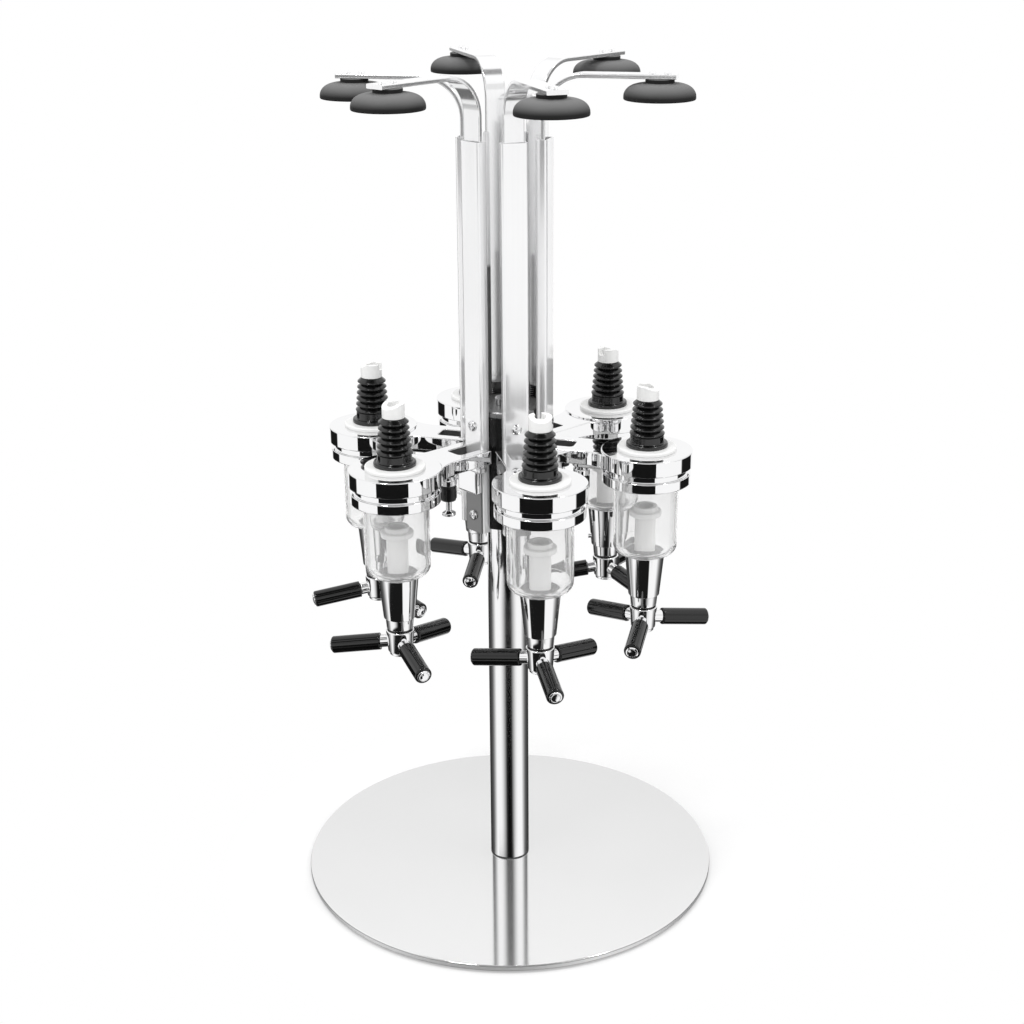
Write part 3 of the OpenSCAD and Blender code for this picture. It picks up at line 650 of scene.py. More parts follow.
HAZE, ins, outs = effect("handling_haze", ["Roughness"], Scale=30, Clean=0.03, Dull=0.08)
cloud = noise(HAZE, ins["Vector"], ins["Scale"])
feed(HAZE, spread(HAZE, cloud, ins["Clean"], ins["Dull"]), outs["Roughness"])

GRAIN, ins, outs = effect("brushed_grain", ["Height", "Roughness", "Streak"], Fineness=1500, Clean=0.2, Dull=0.3)
lines = noise(GRAIN, ins["Vector"], ins["Fineness"], 2)
feed(GRAIN, lines, outs["Height"])
feed(GRAIN, spread(GRAIN, lines, ins["Clean"], ins["Dull"]), outs["Roughness"])
feed(GRAIN, spread(GRAIN, lines, STREAK_LOW, 1.0), outs["Streak"])

SPECKLE, ins, outs = effect("moulded_speckle", ["Height", "Roughness", "Mask"], Scale=900, Clean=0.4, Dull=0.55)
cloud = noise(SPECKLE, ins["Vector"], CLOUD_SCALE)
feed(SPECKLE, noise(SPECKLE, ins["Vector"], ins["Scale"], 2), outs["Height"])
feed(SPECKLE, spread(SPECKLE, cloud, ins["Clean"], ins["Dull"]), outs["Roughness"])
feed(SPECKLE, spread(SPECKLE, cloud, 0.0, 1.0), outs["Mask"])
print("groups:", HAZE.name, GRAIN.name, SPECKLE.name)

# %% [markdown]
# ## Finishes
# Chrome is a plain mirror with haze, and the post is duller so that its bands run soft into each other.
# The base, the rails and the arms are brushed: round the centre on the base, lengthwise on rails and arms.
# Rubber, grips and corks share the speckle at several scales.
# The measuring chambers are clear plastic with real walls.

# %% Make the materials
CHROME_HAZE, CHROME_CLOUD = 35, 60
GRAIN_FINENESS = 1400
CLEAR_IOR, CLEAR_SHARE = 1.46, 0.9


def use_group(tree, group, vector, **values):
    return add(tree, "ShaderNodeGroup", {"Vector": vector, **values}, node_tree=group)


def tint(tree, inputs, factor, dark, light):
    """Base colour that drifts between two colours."""
    feed(tree, mix_colour(tree, factor, (*dark, 1), (*light, 1)), inputs["Base Color"])


def bump(tree, inputs, height, distance):
    normal = add(tree, "ShaderNodeBump", {"Strength": 1.0, "Distance": distance * MM, "Height": height})[0]
    feed(tree, normal, inputs["Normal"])


def chrome(name, level, clean, dull):
    material, tree, inputs, where = base_material(name, grey(level), 1.0)
    haze = use_group(tree, HAZE, where, Scale=CHROME_HAZE, Clean=clean, Dull=dull)
    feed(tree, haze["Roughness"], inputs["Roughness"])
    tint(tree, inputs, noise(tree, where, CHROME_CLOUD), grey(level - 0.02), (level, level, min(level + 0.01, 1)))
    return material


def brushed(name, colour, metallic, stretch, clean, dull, depth):
    """Brushed metal; stretch scales the grain on each axis, or is None for rings round Z."""
    material, tree, inputs, where = base_material(name, colour, metallic)
    if stretch is None:
        flat = vector_node(tree, "LENGTH", vector_node(tree, "MULTIPLY", where, (1, 1, 0))[0])["Value"]
        grained = add(tree, "ShaderNodeCombineXYZ", {"X": flat})[0]
    else:
        grained = vector_node(tree, "MULTIPLY", where, stretch)[0]
    grain = use_group(tree, GRAIN, grained, Fineness=GRAIN_FINENESS, Clean=clean, Dull=dull)
    feed(tree, grain["Roughness"], inputs["Roughness"])
    tint(tree, inputs, grain["Streak"], grey(0), colour)
    bump(tree, inputs, grain["Height"], depth)
    return material


def moulded(name, dark, light, scale, clean, dull, depth, **fixed):
    material, tree, inputs, where = base_material(name, dark, 0.0, **fixed)
    skin = use_group(tree, SPECKLE, where, Scale=scale, Clean=clean, Dull=dull)
    tint(tree, inputs, skin["Mask"], dark, light)
    feed(tree, skin["Roughness"], inputs["Roughness"])
    bump(tree, inputs, skin["Height"], depth)
    return material


CHROME = chrome("cast_chrome", 0.94, 0.015, 0.04)
POST_CHROME = chrome("post_chrome", 0.94, 0.07, 0.1)
SCREW_CHROME = chrome("screw_chrome", 0.88, 0.06, 0.14)
HUB_STEEL = brushed("hub_steel", grey(0.3), 0.8, (0.6, 0.8, 0.05), 0.25, 0.4, 0.002)
# Painted shade: the hub between the rails gets a near-black finish for the shade in its recess.
HUB_PAINTED_SHADE = brushed("hub_painted_shade", grey(0.02), 0.6, (0.6, 0.8, 0.05), 0.2, 0.3, 0.002)
PLATE = brushed("polished_plate", grey(0.92), 0.86, None, 0.05, 0.08, 0.0002)
RAIL = brushed("satin_rail", (0.97, 0.97, 0.975), 0.5, (0.6, 0.8, 0.004), 0.08, 0.12, 0.0006)
STRIP = brushed("bright_strip", (0.94, 0.94, 0.945), 0.75, (0.6, 0.8, 0.01), 0.1, 0.16, 0.0006)
INNER_STEEL = brushed("inner_steel", grey(0.62), 1.0, (0.6, 0.8, 0.1), 0.25, 0.4, 0.004)
WHITE_PLASTIC = moulded("white_plastic", (0.9, 0.9, 0.89), (0.94, 0.94, 0.935), 500, 0.3, 0.42, 0.002)
NATURAL_PLASTIC = moulded("natural_plastic", grey(0.84), (0.88, 0.88, 0.87), 500, 0.3, 0.42, 0.002)
SEAL_RUBBER = moulded("seal_rubber", grey(0.16), grey(0.22), 900, 0.4, 0.55, 0.004)
BEARING = moulded("bearing_plastic", (0.82, 0.81, 0.77), (0.88, 0.87, 0.84), 500, 0.4, 0.5, 0.004)
CORK = moulded("cork_rubber", grey(0.002), grey(0.004), 700, 0.1, 0.17, 0.003, Specular_IOR_Level=0.65)
PAD = moulded("pad_rubber", grey(0.006), grey(0.01), 1500, 0.55, 0.68, 0.012, Specular_IOR_Level=0.25)
FOOT = moulded("foot_rubber", grey(0.03), grey(0.05), 1200, 0.6, 0.75, 0.02)
GRIP = moulded("grip_plastic", grey(0.002), grey(0.005), 1600, 0.07, 0.12, 0.002, Specular_IOR_Level=0.55)
BLACK_PLASTIC = moulded("black_plastic", grey(0.004), grey(0.008), 900, 0.12, 0.2, 0.003, Specular_IOR_Level=0.5)
# Painted shade: a dark finish for the thin sheet inside the brackets' slots.
SLOT_SHADE = moulded("painted_slot_shade", grey(0.03), grey(0.09), 400, 0.4, 0.55, 0.02)
CLEAR, tree, inputs, where = base_material(
    "clear_plastic", grey(1.0), 0.0, Transmission_Weight=CLEAR_SHARE, IOR=CLEAR_IOR)
haze = use_group(tree, HAZE, where, Scale=60, Clean=0.0, Dull=0.03)
feed(tree, haze["Roughness"], inputs["Roughness"])
print("materials:", len(bpy.data.materials))

# %% [markdown]
# ## Where a finish changes
# Pads are painted paler on top as a highlight; the base's rim keeps the cut's dull grey, with painted dark corner
# lines.
# The rails get painted shade: darker low down behind the brackets, and inside below their upper part.
# Each change is a mask from the surface's slope or place, laid over the finish's own colour.

# %% Lay the changes over the finishes
PAD_PAINTED_TOP_LIGHT, TOP_LIGHT_SLOPES = 0.165, (0.08, 1.0)
RIM_SIDE, RIM_PAINTED_CORNER, RIM_ROUGH = 0.85, 0.3, 0.5
RIM_SLOPES, PAINTED_CORNER_SLOPES = (0.3, 0.75), (0.04, 0.2)
LOW_SHADE_LEVEL, LOW_SHADE_TOP, OUTWARDS = 0.22, COLLAR_LOW - 1.5, (0.75, 0.9)
INSIDE_SHADE_LEVEL, INSIDE_SHADE_TOP, INWARDS = 0.17, RAIL_TOP - 91.5, (-0.3, -0.6)
SHADE_EDGE_SOFT = 1.5


def overlay(material, mask, value, label="Base Color"):
    """Lays a colour, or a value on another input, over the material's own where a mask says so."""
    tree = material.node_tree
    target = tree.nodes["Principled BSDF"].inputs[label]
    own = target.links[0].from_socket
    mixed = mix_colour(tree, mask, own, value) if label == "Base Color" else spread(tree, mask, own, value, 0, 1)
    feed(tree, mixed, target)


def slope(tree):
    """How far the surface looks up, from minus one to one."""
    return add(tree, "ShaderNodeSeparateXYZ", {0: add(tree, "ShaderNodeNewGeometry")["Normal"]})["Z"]


def paint_shade_below(material, height, level, facing_range):
    """Paints shade: a darker grey on faces under a height, where they look out from the axis as the range says."""
    tree = material.node_tree
    where = add(tree, "ShaderNodeTexCoord")
    z = add(tree, "ShaderNodeSeparateXYZ", {0: where["Object"]})["Z"]
    below = spread(tree, z, 1.0, 0.0, (height - SHADE_EDGE_SOFT) * MM, (height + SHADE_EDGE_SOFT) * MM)
    outwards = vector_node(tree, "NORMALIZE", vector_node(tree, "MULTIPLY", where["Object"], (1, 1, 0))[0])[0]
    facing = vector_node(tree, "DOT_PRODUCT", outwards, where["Normal"])["Value"]
    shade_mask = math_node(tree, "MULTIPLY", below, spread(tree, facing, 0.0, 1.0, *facing_range))
    overlay(material, shade_mask, (*grey(level), 1))


# Painted highlight: the pads' colour turns paler where the surface looks up, standing in for top light.
tree = PAD.node_tree
overlay(PAD, spread(tree, slope(tree), 0.0, 1.0, *TOP_LIGHT_SLOPES), (*grey(PAD_PAINTED_TOP_LIGHT), 1))
# Painted reflection and shade: the rim's rounded top and bottom corners are a darker grey than its side.
tree = PLATE.node_tree
rim = spread(tree, slope(tree), 1.0, 0.0, *RIM_SLOPES)
overlay(PLATE, rim, spread(tree, math_node(tree, "ABSOLUTE", slope(tree)), RIM_SIDE, RIM_PAINTED_CORNER, *PAINTED_CORNER_SLOPES))
overlay(PLATE, rim, RIM_ROUGH, "Roughness")
# Painted shade on the rails: low down behind the brackets, and on their inner faces below the upper part.
paint_shade_below(RAIL, LOW_SHADE_TOP, LOW_SHADE_LEVEL, OUTWARDS)
paint_shade_below(RAIL, INSIDE_SHADE_TOP, INSIDE_SHADE_LEVEL, INWARDS)
print("changed finishes:", PAD.name, PLATE.name, RAIL.name)

# %% [markdown]
# ## Base and post
# The base is a thin polished disc with a softened rim on a rubber foot.
# The post is a chromed tube bolted to it on a thin gasket.
# All are turned shapes. The disc keeps the countersink for the bolt that comes up from below.

# %% Turn the base, the foot and the post
BOLT_R, BOLT_HEAD_R = 5.05, 9.55
FOOT_HOLE_R = 20
POST_WALL, GASKET_T = 2, 0.8
post_in, post_low = POST_R - POST_WALL, PLATE_TOP + GASKET_T
disc = turned([
    (BOLT_HEAD_R, PLATE_LOW, 0), (PLATE_R, PLATE_LOW, 0.5), (PLATE_R, PLATE_TOP, 1.0), (BOLT_R, PLATE_TOP, 0),
    (BOLT_R, PLATE_TOP - 0.5, 0)], True, 256)
foot = ring(FOOT_HOLE_R, half_width("foot_pad"), 0, PLATE_LOW, (0.5, 0.6, 0.2, 0.2), 192)
post = ring(post_in, POST_R, post_low, POST_TOP, (0.3, 0.3, 0.4, 0.3), 160)
gasket = ring(post_in, POST_R, PLATE_TOP, post_low, (0.1, 0.2, 0.1, 0.1), 128)
for obj in (single_piece("base_disc", disc, PLATE, "stand", "polished_plate", "base_plate"),
            single_piece("foot_ring", foot, FOOT, "stand", "foot_rubber", "foot_pad")):
    obj.visible_glossy = False
single_piece("post_tube", post, POST_CHROME, "stand", "chrome_tube", "post")
single_piece("post_gasket", gasket, FOOT, "stand", "foot_rubber")

# %% [markdown]
# ## Rails
# Each rail is aluminium sheet folded into a channel with two small lips, which keep the sliding arm inside.
# A folded corner has a radius, and its soft reflection is what tells a folded rail from a sawn block.
# The section is drawn once, rounded, and carried straight up.

# %% Fold the rails
RAIL_W, RAIL_DEPTH, RAIL_WALL, RAIL_LIP = 18, 8, 1.2, 2.5
RAIL_FOLD = 1.7
rail_in = RAIL_OUT - RAIL_DEPTH
rail_half = RAIL_W / 2 - RAIL_WALL


def rail_section():
    """Half of the channel's outline, mirrored to make the whole."""
    half, mouth = RAIL_W / 2, rail_half - RAIL_LIP
    outer = [(mouth, rail_in, 0.3), (half, rail_in, RAIL_FOLD), (half, RAIL_OUT, RAIL_FOLD)]
    inner = [(rail_half, RAIL_OUT - RAIL_WALL, RAIL_FOLD - RAIL_WALL), (rail_half, rail_in + RAIL_WALL, 0.5),
             (mouth, rail_in + RAIL_WALL, 0.3)]
    mirrored = [[(-y, x, r) for y, x, r in reversed(side)] for side in (outer, inner)]
    return [(x, y) for y, x in rounded(outer + mirrored[0] + mirrored[1] + inner, True)]


def upright_frames(low, high):
    """Frames at two heights, with the section lying level."""
    turn_up = Matrix(((0, 1, 0, 0), (0, 0, 1, 0), (1, 0, 0, 0), (0, 0, 0, 1)))
    return [Matrix.Translation((0, 0, z)) @ turn_up for z in (low, high)]


channel = swept(rail_section(), upright_frames(RAIL_LOW, RAIL_TOP))
tab = block((rail_in + RAIL_WALL, -rail_half, RAIL_LOW),
            (RAIL_OUT - RAIL_WALL, rail_half, RAIL_LOW + RAIL_WALL), 0.1)
carousel_piece("rail_channels", joined([channel, tab]), RAIL, "rail_aluminium", "rails")

# %% [markdown]
# ## Screws
# Two pan-head screws hold each rail to the hub, and a hidden one holds each bracket from inside the rail.
# The head is a turned dome, and a Boolean cuts its cross recess, because the slot has to be a real hollow.

# %% Turn and cut the screws
SCREW_R, HEAD_R, HEAD_H, HEAD_RIM, SCREW_L = 2, 3.75, 2.4, 0.5, 12.4
CROSS_W, CROSS_L, CROSS_H = 1.1, 4.4, 1.3
SCREW_HEIGHTS = (COLLAR_TOP - 51.1, COLLAR_TOP + 14.5)
HIDDEN_Y, HIDDEN_Z = -3.6, COLLAR_LOW - 13
HIDDEN_HEAD_R, HIDDEN_HEAD_H, HIDDEN_R, HIDDEN_L = 2.8, 2, 1.7, 5.2


def pan_screw():
    """Screw along Z with its seat at nought and a cross recess in its dome."""
    dome = [(HEAD_R * math.cos(a), HEAD_RIM + (HEAD_H - HEAD_RIM) * math.sin(a), 0)
            for a in map(math.radians, range(0, 90, 10))]
    head = new_object("screw", turned(
        [(0, -SCREW_L, 0), (SCREW_R, -SCREW_L, 0.5), (SCREW_R, 0, 0), (HEAD_R, 0, 0), *dome, (0, HEAD_H, 0)],
        segments=40), SCREW_CHROME)
    low, high = (-CROSS_L / 2, -CROSS_W / 2, HEAD_H - CROSS_H), (CROSS_L / 2, CROSS_W / 2, HEAD_H + 2)
    bars = [moved(block(low, high, 0.1), spin(angle)) for angle in (0, 90)]
    cutter = new_object("cross", joined(bars), SCREW_CHROME)
    cut = head.modifiers.new("cut", "BOOLEAN")
    cut.object = cutter
    cut.solver = "EXACT"
    cut.use_self = True
    bm = bmesh.new()
    bm.from_mesh(baked(head).data)
    bpy.data.objects.remove(head)
    bpy.data.objects.remove(cutter)
    return bm


screws = [moved(pan_screw(), shift(RAIL_OUT, 0, z) @ spin(90, "Y")) for z in SCREW_HEIGHTS]
hidden = turned([
    (0, -HIDDEN_HEAD_H, 0), (HIDDEN_HEAD_R, -HIDDEN_HEAD_H, 0.4), (HIDDEN_HEAD_R, 0, 0), (HIDDEN_R, 0, 0),
    (HIDDEN_R, HIDDEN_L, 0.4), (0, HIDDEN_L, 0)], segments=24)
screws.append(moved(hidden, shift(RAIL_OUT - RAIL_WALL, HIDDEN_Y, HIDDEN_Z) @ spin(90, "Y")))
carousel_piece("rail_screws", joined(screws), SCREW_CHROME, "screw_chrome", "mounting_screws")

# %% [markdown]
# ## Bracket arms and clamp rings
# A bracket is one casting: a fork that grips the rail, a web and a thick collar, all on one level.
# Its plan is one outline, with true arcs where the web sweeps into the collar, and sawn with rounded edges.
# The collar is turned by itself and stands a little proud of the web, which leaves a fine line round it.
# A thin dark sheet just inside the slot's walls is painted shade, which makes the slot look dark.
# The clamp ring below holds the chamber by its flange and carries the release pin on a tail.

# %% Saw the brackets and paint shade into their slots
FORK_HALF, SLOT_HALF = 14.5, 9.3
FORK_START, SLOT_STEP, SLOT_END = RAIL_OUT - 4, RAIL_OUT + 0.4, RAIL_OUT + 18
SLOT_NARROW, SLOT_CORNER, SHADE_SHEET_T = 6.8, 2.5, 0.2
SWEEP_R = 30
WASHER_SPIGOT_R = 17
COLLAR_EDGE, ARM_STEP = 0.7, 1.2
BLOCK_T, BLOCK_HALF, BAR_LOW = 6, 10, COLLAR_LOW - 5
web_top = COLLAR_TOP - ARM_STEP


def arc(centre, radius, start, end, steps):
    """Points of an arc between two angles in degrees."""
    angles = [math.radians(start + (end - start) * i / steps) for i in range(steps + 1)]
    return [(centre[0] + radius * math.cos(a), centre[1] + radius * math.sin(a)) for a in angles]


def slot_plan(inset):
    """Open outline of the slot in front of the rail, drawn a little inside itself."""
    half, end = SLOT_NARROW - inset, SLOT_END - inset
    corners = [(SLOT_STEP, -half, 0), (end, -half, SLOT_CORNER), (end, half, SLOT_CORNER), (SLOT_STEP, half, 0)]
    return [(x, y) for x, y in rounded(corners)]


def bracket_plan():
    sweep_y = FORK_HALF + SWEEP_R
    sweep_x = MEASURE_R - math.sqrt((COLLAR_R + SWEEP_R) ** 2 - sweep_y ** 2)
    lean = math.degrees(math.atan2(sweep_y, sweep_x - MEASURE_R))
    upper = [(FORK_START, FORK_HALF), *arc((sweep_x, sweep_y), SWEEP_R, -90, lean - 180, 14)]
    lower = [(x, -y) for x, y in reversed(upper)]
    collar_arc = arc((MEASURE_R, 0), COLLAR_R - ARM_STEP / 2, lean, -lean, 72)
    slot = [(FORK_START, -SLOT_HALF), (SLOT_STEP, -SLOT_HALF), *slot_plan(0), (SLOT_STEP, SLOT_HALF),
            (FORK_START, SLOT_HALF)]
    return list(reversed(upper + collar_arc[1:-1] + lower + slot))


hole = arc((MEASURE_R, 0), WASHER_SPIGOT_R + ARM_STEP, 0, 352.5, 47)
collar_edges = (0.3, COLLAR_EDGE, COLLAR_EDGE, 0.3)
collar = ring(WASHER_SPIGOT_R + SLIP, COLLAR_R, COLLAR_LOW, COLLAR_TOP, collar_edges, 144)
bracket = [
    sawn(bracket_plan(), COLLAR_LOW, web_top, COLLAR_EDGE, [hole]), moved(collar, shift(MEASURE_R)),
    block((RAIL_OUT, -FORK_HALF, BAR_LOW), (RAIL_OUT + BLOCK_T, FORK_HALF, COLLAR_LOW + 1), 0.8),
    block((RAIL_OUT, -BLOCK_HALF, BLOCK_LOW), (RAIL_OUT + BLOCK_T, BLOCK_HALF, BAR_LOW + 1), 1.6)]
carousel_piece("bracket_castings", joined(bracket), CHROME, "cast_chrome", "bracket_arms")
# Painted shade: a thin dark sheet just inside each slot's walls.
slot_shade_sheet = sawn(slot_plan(0) + slot_plan(SHADE_SHEET_T)[::-1], COLLAR_LOW + 1, web_top - COLLAR_EDGE, 0.02)
carousel_piece("slot_shade_sheets", slot_shade_sheet, SLOT_SHADE, "cast_chrome")

# %% Turn the clamp rings
CHAMBER_R, FLANGE_R, FLANGE_T = 22.5, 26, 3
GROOVE_H, CLAMP_T = 4.8, 7.1
SPIGOT_R = FLANGE_R + 2.45
PIN_X, PIN_R = 55, 2
NUT_R, NUT_H, NUT_FOOT = 6, 8, 1.5
TAIL_HALF, TAIL_BACK, TAIL_CORNER = 7, 6, 5
clamp_top = COLLAR_LOW - GROOVE_H
clamp_low = clamp_top - CLAMP_T
flange_low = COLLAR_LOW - FLANGE_T - SLIP
pin_bore = PIN_R + SLIP
clamp_ring = turned([
    (CHAMBER_R + SLIP, clamp_low, 0.5), (CLAMP_R, clamp_low, 0.7), (CLAMP_R, clamp_top, 0.6),
    (SPIGOT_R, clamp_top, 0.3), (SPIGOT_R, COLLAR_LOW, 0.2), (FLANGE_R + SLIP, COLLAR_LOW, 0.2),
    (FLANGE_R + SLIP, flange_low, 0.2), (CHAMBER_R + SLIP, flange_low, 0.2)], True, 144)
tail_start, tail_end = PIN_X - TAIL_BACK, MEASURE_R - SPIGOT_R + 1
tail_plan = rounded([
    (tail_start, -TAIL_HALF, TAIL_CORNER), (tail_end, -TAIL_HALF, 0), (tail_end, TAIL_HALF, 0),
    (tail_start, TAIL_HALF, TAIL_CORNER)], True)
nut = turned([
    (pin_bore, NUT_LOW, 0.2), (NUT_R * 0.85, NUT_LOW, 0.8), (NUT_R, NUT_LOW + NUT_FOOT, 0.8),
    (NUT_R, clamp_top - NUT_H * 0.35, 1.5), (NUT_R * 0.7, clamp_top, 0), (pin_bore, clamp_top, 0)], True, 48)
tail = sawn(tail_plan, clamp_top, COLLAR_LOW, 0.6)
clamp = [moved(clamp_ring, shift(MEASURE_R)), tail, moved(nut, shift(PIN_X))]
carousel_piece("clamp_castings", joined(clamp), CHROME, "cast_chrome", "clamp_rings")

# %% [markdown]
# ## Release pins
# Under each bracket a pin runs in a black plastic body and ends in a small pull disc.
# The body rides with the carousel, and the pin has a body of its own because it slides.

# %% Turn the pins and their bodies
BODY_R, BODY_H, BODY_STEP = 5.75, 10.5, 0.6
PULL_R, PULL_T = 4.75, 3.6
body_low = NUT_LOW - BODY_H
pull_low, pin_top = heights("release_pin_1")
guide = turned([
    (pin_bore, body_low, 0.3), (BODY_R - BODY_STEP, body_low, 0.8), (BODY_R - BODY_STEP, body_low + 1.5, 0.2),
    (BODY_R, body_low + 2, 0.4), (BODY_R, NUT_LOW, 0.5), (pin_bore, NUT_LOW, 0)], True, 56)
carousel_piece("pin_guides", guide, BLACK_PLASTIC, "black_plastic", "pin_bodies", out=PIN_X)
for i in ALL:
    pin = turned([
        (0, pull_low, 0), (PULL_R, pull_low, 0.7), (PULL_R, pull_low + PULL_T * 0.6, 0.7),
        (PIN_R, pull_low + PULL_T, 0.5), (PIN_R, pin_top, 0.5), (0, pin_top, 0)], segments=48)
    single_piece(f"pull_pin_{i}", moved(pin, station(i) @ shift(PIN_X)), SCREW_CHROME, f"pin_{i}", "screw_chrome",
                 f"release_pin_{i}")

# %% [markdown]
# ## Washers, corks and inlet tubes
# The bottle's neck is pushed down over a ribbed rubber cork until its rim meets the white washer.
# Each rib is a soft lip that folds down into the neck: its tip is rounded and the valley between is a fillet.
# The cut white tip lets liquor in, and its slant and notch come from the solid, with their edges softened.

# %% Turn the washers and the corks
WASHER_R, INLET_R = 20.5, 6.05
CORK_R, CORK_FLANGE, CORK_WAIST_R, CORK_BASE_R, CORK_BASE_H = 14.5, 3, 11.9, 11.6, 5
FIN_COUNT, FIN_DEPTH = 6, 2.6
FIN_LOW_R, FIN_HIGH_R = 12.2, 10.2
washer_low = heights("seal_washers")[0]
washer = turned([
    (INLET_R, washer_low, 0.3), (WASHER_SPIGOT_R, washer_low, 0.4), (WASHER_SPIGOT_R, COLLAR_TOP, 0),
    (WASHER_R, COLLAR_TOP, 0.3), (WASHER_R, CORK_LOW, 1.0), (INLET_R, CORK_LOW, 0)], True, 112)
carousel_piece("neck_washers", washer, WHITE_PLASTIC, "white_plastic", "seal_washers", out=MEASURE_R)


def cork_outline():
    """Outline of the cork: flange, plain base and soft ribs that get smaller upwards."""
    flange_top = CORK_LOW + CORK_FLANGE
    base_top = flange_top + CORK_BASE_H
    pitch = (CORK_TOP - base_top) / FIN_COUNT
    corners = [(INLET_R, CORK_LOW, 0.2), (CORK_R, CORK_LOW, 0.5), (CORK_R, flange_top, 1.2),
               (CORK_WAIST_R, flange_top, 0.8), (CORK_BASE_R, base_top, 0.6)]
    for j in range(FIN_COUNT):
        r = FIN_LOW_R - (FIN_LOW_R - FIN_HIGH_R) * j / (FIN_COUNT - 1)
        z = base_top + j * pitch
        corners += [(r - FIN_DEPTH, z + 0.04 * pitch, 0.5), (r, z + 0.2 * pitch, 0.25),
                    (r - 0.1, z + 0.36 * pitch, 0.35), (r - FIN_DEPTH, z + 0.88 * pitch, 0.6)]
    return corners + [(FIN_HIGH_R - FIN_DEPTH, CORK_TOP, 0.3), (INLET_R, CORK_TOP, 0.2)]


cork = turned(cork_outline(), True, 72)
carousel_piece("ribbed_corks", cork, CORK, "cork_rubber", "bottle_corks", out=MEASURE_R)

# %% Soften the inlet tubes
TIP_EDGE = 0.5
FLAT_ANGLE = math.radians(1.5)


def softened(node, name, finish, width):
    """Copy of a solid with its edges rounded by a bevel."""
    source = frame["nodes"][node]
    bm = bmesh.new()
    bm.from_mesh(source.data)
    moved(bm, source.matrix_world)
    bmesh.ops.remove_doubles(bm, verts=bm.verts, dist=TOUCH)
    bmesh.ops.dissolve_limit(bm, angle_limit=FLAT_ANGLE, verts=bm.verts, edges=bm.edges)
    obj = new_object(name, bm, finish)
    bevel = obj.modifiers.new("bevel", "BEVEL")
    bevel.width = width * MM
    bevel.segments = BEVEL_STEPS
    bevel.limit_method = "ANGLE"
    bevel.angle_limit = SHARP_ANGLE
    bevel.use_clamp_overlap = True
    return polished(baked(obj))


tips = softened("inlet_tubes", "inlet_tips", WHITE_PLASTIC, TIP_EDGE)
dressed(tips, "carousel", "white_plastic", "inlet_tubes")

# %% [markdown]
# ## Measuring chambers and valve tubes
# The chamber is a clear cup with a rounded bottom.
# Both faces of its wall are modelled, so light bends as in the cup.
# A white valve tube with a wider head stands inside, and it is what the eye sees through the wall.

# %% Turn the chambers and the valve tubes
CHAMBER_WALL, CHAMBER_CORNER = 2, 9
TUBE_R, TUBE_BORE = 7.3, 5.6
HEAD_WIDE_R, HEAD_TOP_R, HEAD_HEIGHT = 11.25, 8.3, 7.1
tube_top = heights("valve_tubes")[1]
head_low, head_step = tube_top - HEAD_HEIGHT, tube_top - HEAD_HEIGHT * 0.45
cup_in, cup_floor, flange_under = CHAMBER_R - CHAMBER_WALL, SPOUT_TOP + CHAMBER_WALL, COLLAR_LOW - FLANGE_T
cup = turned([
    (TUBE_R + SLIP, SPOUT_TOP, 0.2), (CHAMBER_R, SPOUT_TOP, CHAMBER_CORNER), (CHAMBER_R, flange_under, 0.3),
    (FLANGE_R, flange_under, 0.3), (FLANGE_R, COLLAR_LOW, 0.3), (cup_in, COLLAR_LOW, 0.3),
    (cup_in, cup_floor, CHAMBER_CORNER - CHAMBER_WALL), (TUBE_R + SLIP, cup_floor, 0.2)], True, 128)
cups = carousel_piece("clear_cups", cup, CLEAR, "clear_plastic", "measure_chambers", out=MEASURE_R)
cups.visible_shadow = False
cups.visible_diffuse = False
tube = turned([
    (TUBE_BORE, SPOUT_TOP, 0.2), (TUBE_R, SPOUT_TOP, 0.2), (TUBE_R, head_low, 0.4), (HEAD_WIDE_R, head_low, 0.8),
    (HEAD_WIDE_R, head_step, 0.9), (HEAD_TOP_R, head_step, 0.4), (HEAD_TOP_R, tube_top, 0.5),
    (TUBE_BORE, tube_top, 0.4)], True, 72)
carousel_piece("valve_columns", tube, NATURAL_PLASTIC, "white_plastic", "valve_tubes", out=MEASURE_R)

# %% [markdown]
# ## Spouts and valve stems
# The spout is a chromed cup that tapers downwards, with a small vent nub on one side.
# A thin grey seal lies between it and the chamber, and shows as a ring through the chamber's floor.
# The stem slides in it: its bright sleeve shows under the spout's lip, and a spindle goes on through the levers.

# %% Turn the spouts and the stems
SPOUT_R, SPOUT_END_R, SEAL_R, SEAL_T, ROOF = 13.95, 10.95, 13.65, 0.8, 6
NECK_R, NECK_END_R, NECK_H, SLEEVE_IN = 9.8, 9.1, 8, 6
ROD_R, SPINDLE_R, LIP_R, LIP_H = 4, 5.5, 7.5, 2
VENT_TURN, VENT_R, VENT_RISE, VENT_OUT = 138, 1.8, 6, 2.6
STEM_BORE, BORE_RISE = 2.5, 8
DISC_R, DISC_T = TUBE_BORE - 0.4, 3
NEAR = 0.2
spout_rim, roof_low, bore_top = SPOUT_TOP - SEAL_T, SPOUT_TOP - ROOF, SPOUT_TOP + BORE_RISE
stem_low, stem_top = heights("valve_stem_1")
lip_top, neck_rim, sleeve_top = stem_low + LIP_H, SPOUT_LOW - NECK_H, SPOUT_LOW + SLEEVE_IN
disc_low = SPOUT_TOP + NEAR
disc_top = disc_low + DISC_T
spout = turned([
    (NECK_R + SLIP, SPOUT_LOW, 0.3), (SPOUT_END_R, SPOUT_LOW, 0.4), (SPOUT_R, spout_rim, 0.6),
    (ROD_R + SLIP, spout_rim, 0), (ROD_R + SLIP, roof_low, 0), (NECK_R + SLIP, roof_low, 0.5)], True, 112)
seal = ring(ROD_R + SLIP, SEAL_R, spout_rim, SPOUT_TOP, (0, 0.2, 0.2, 0), 96)
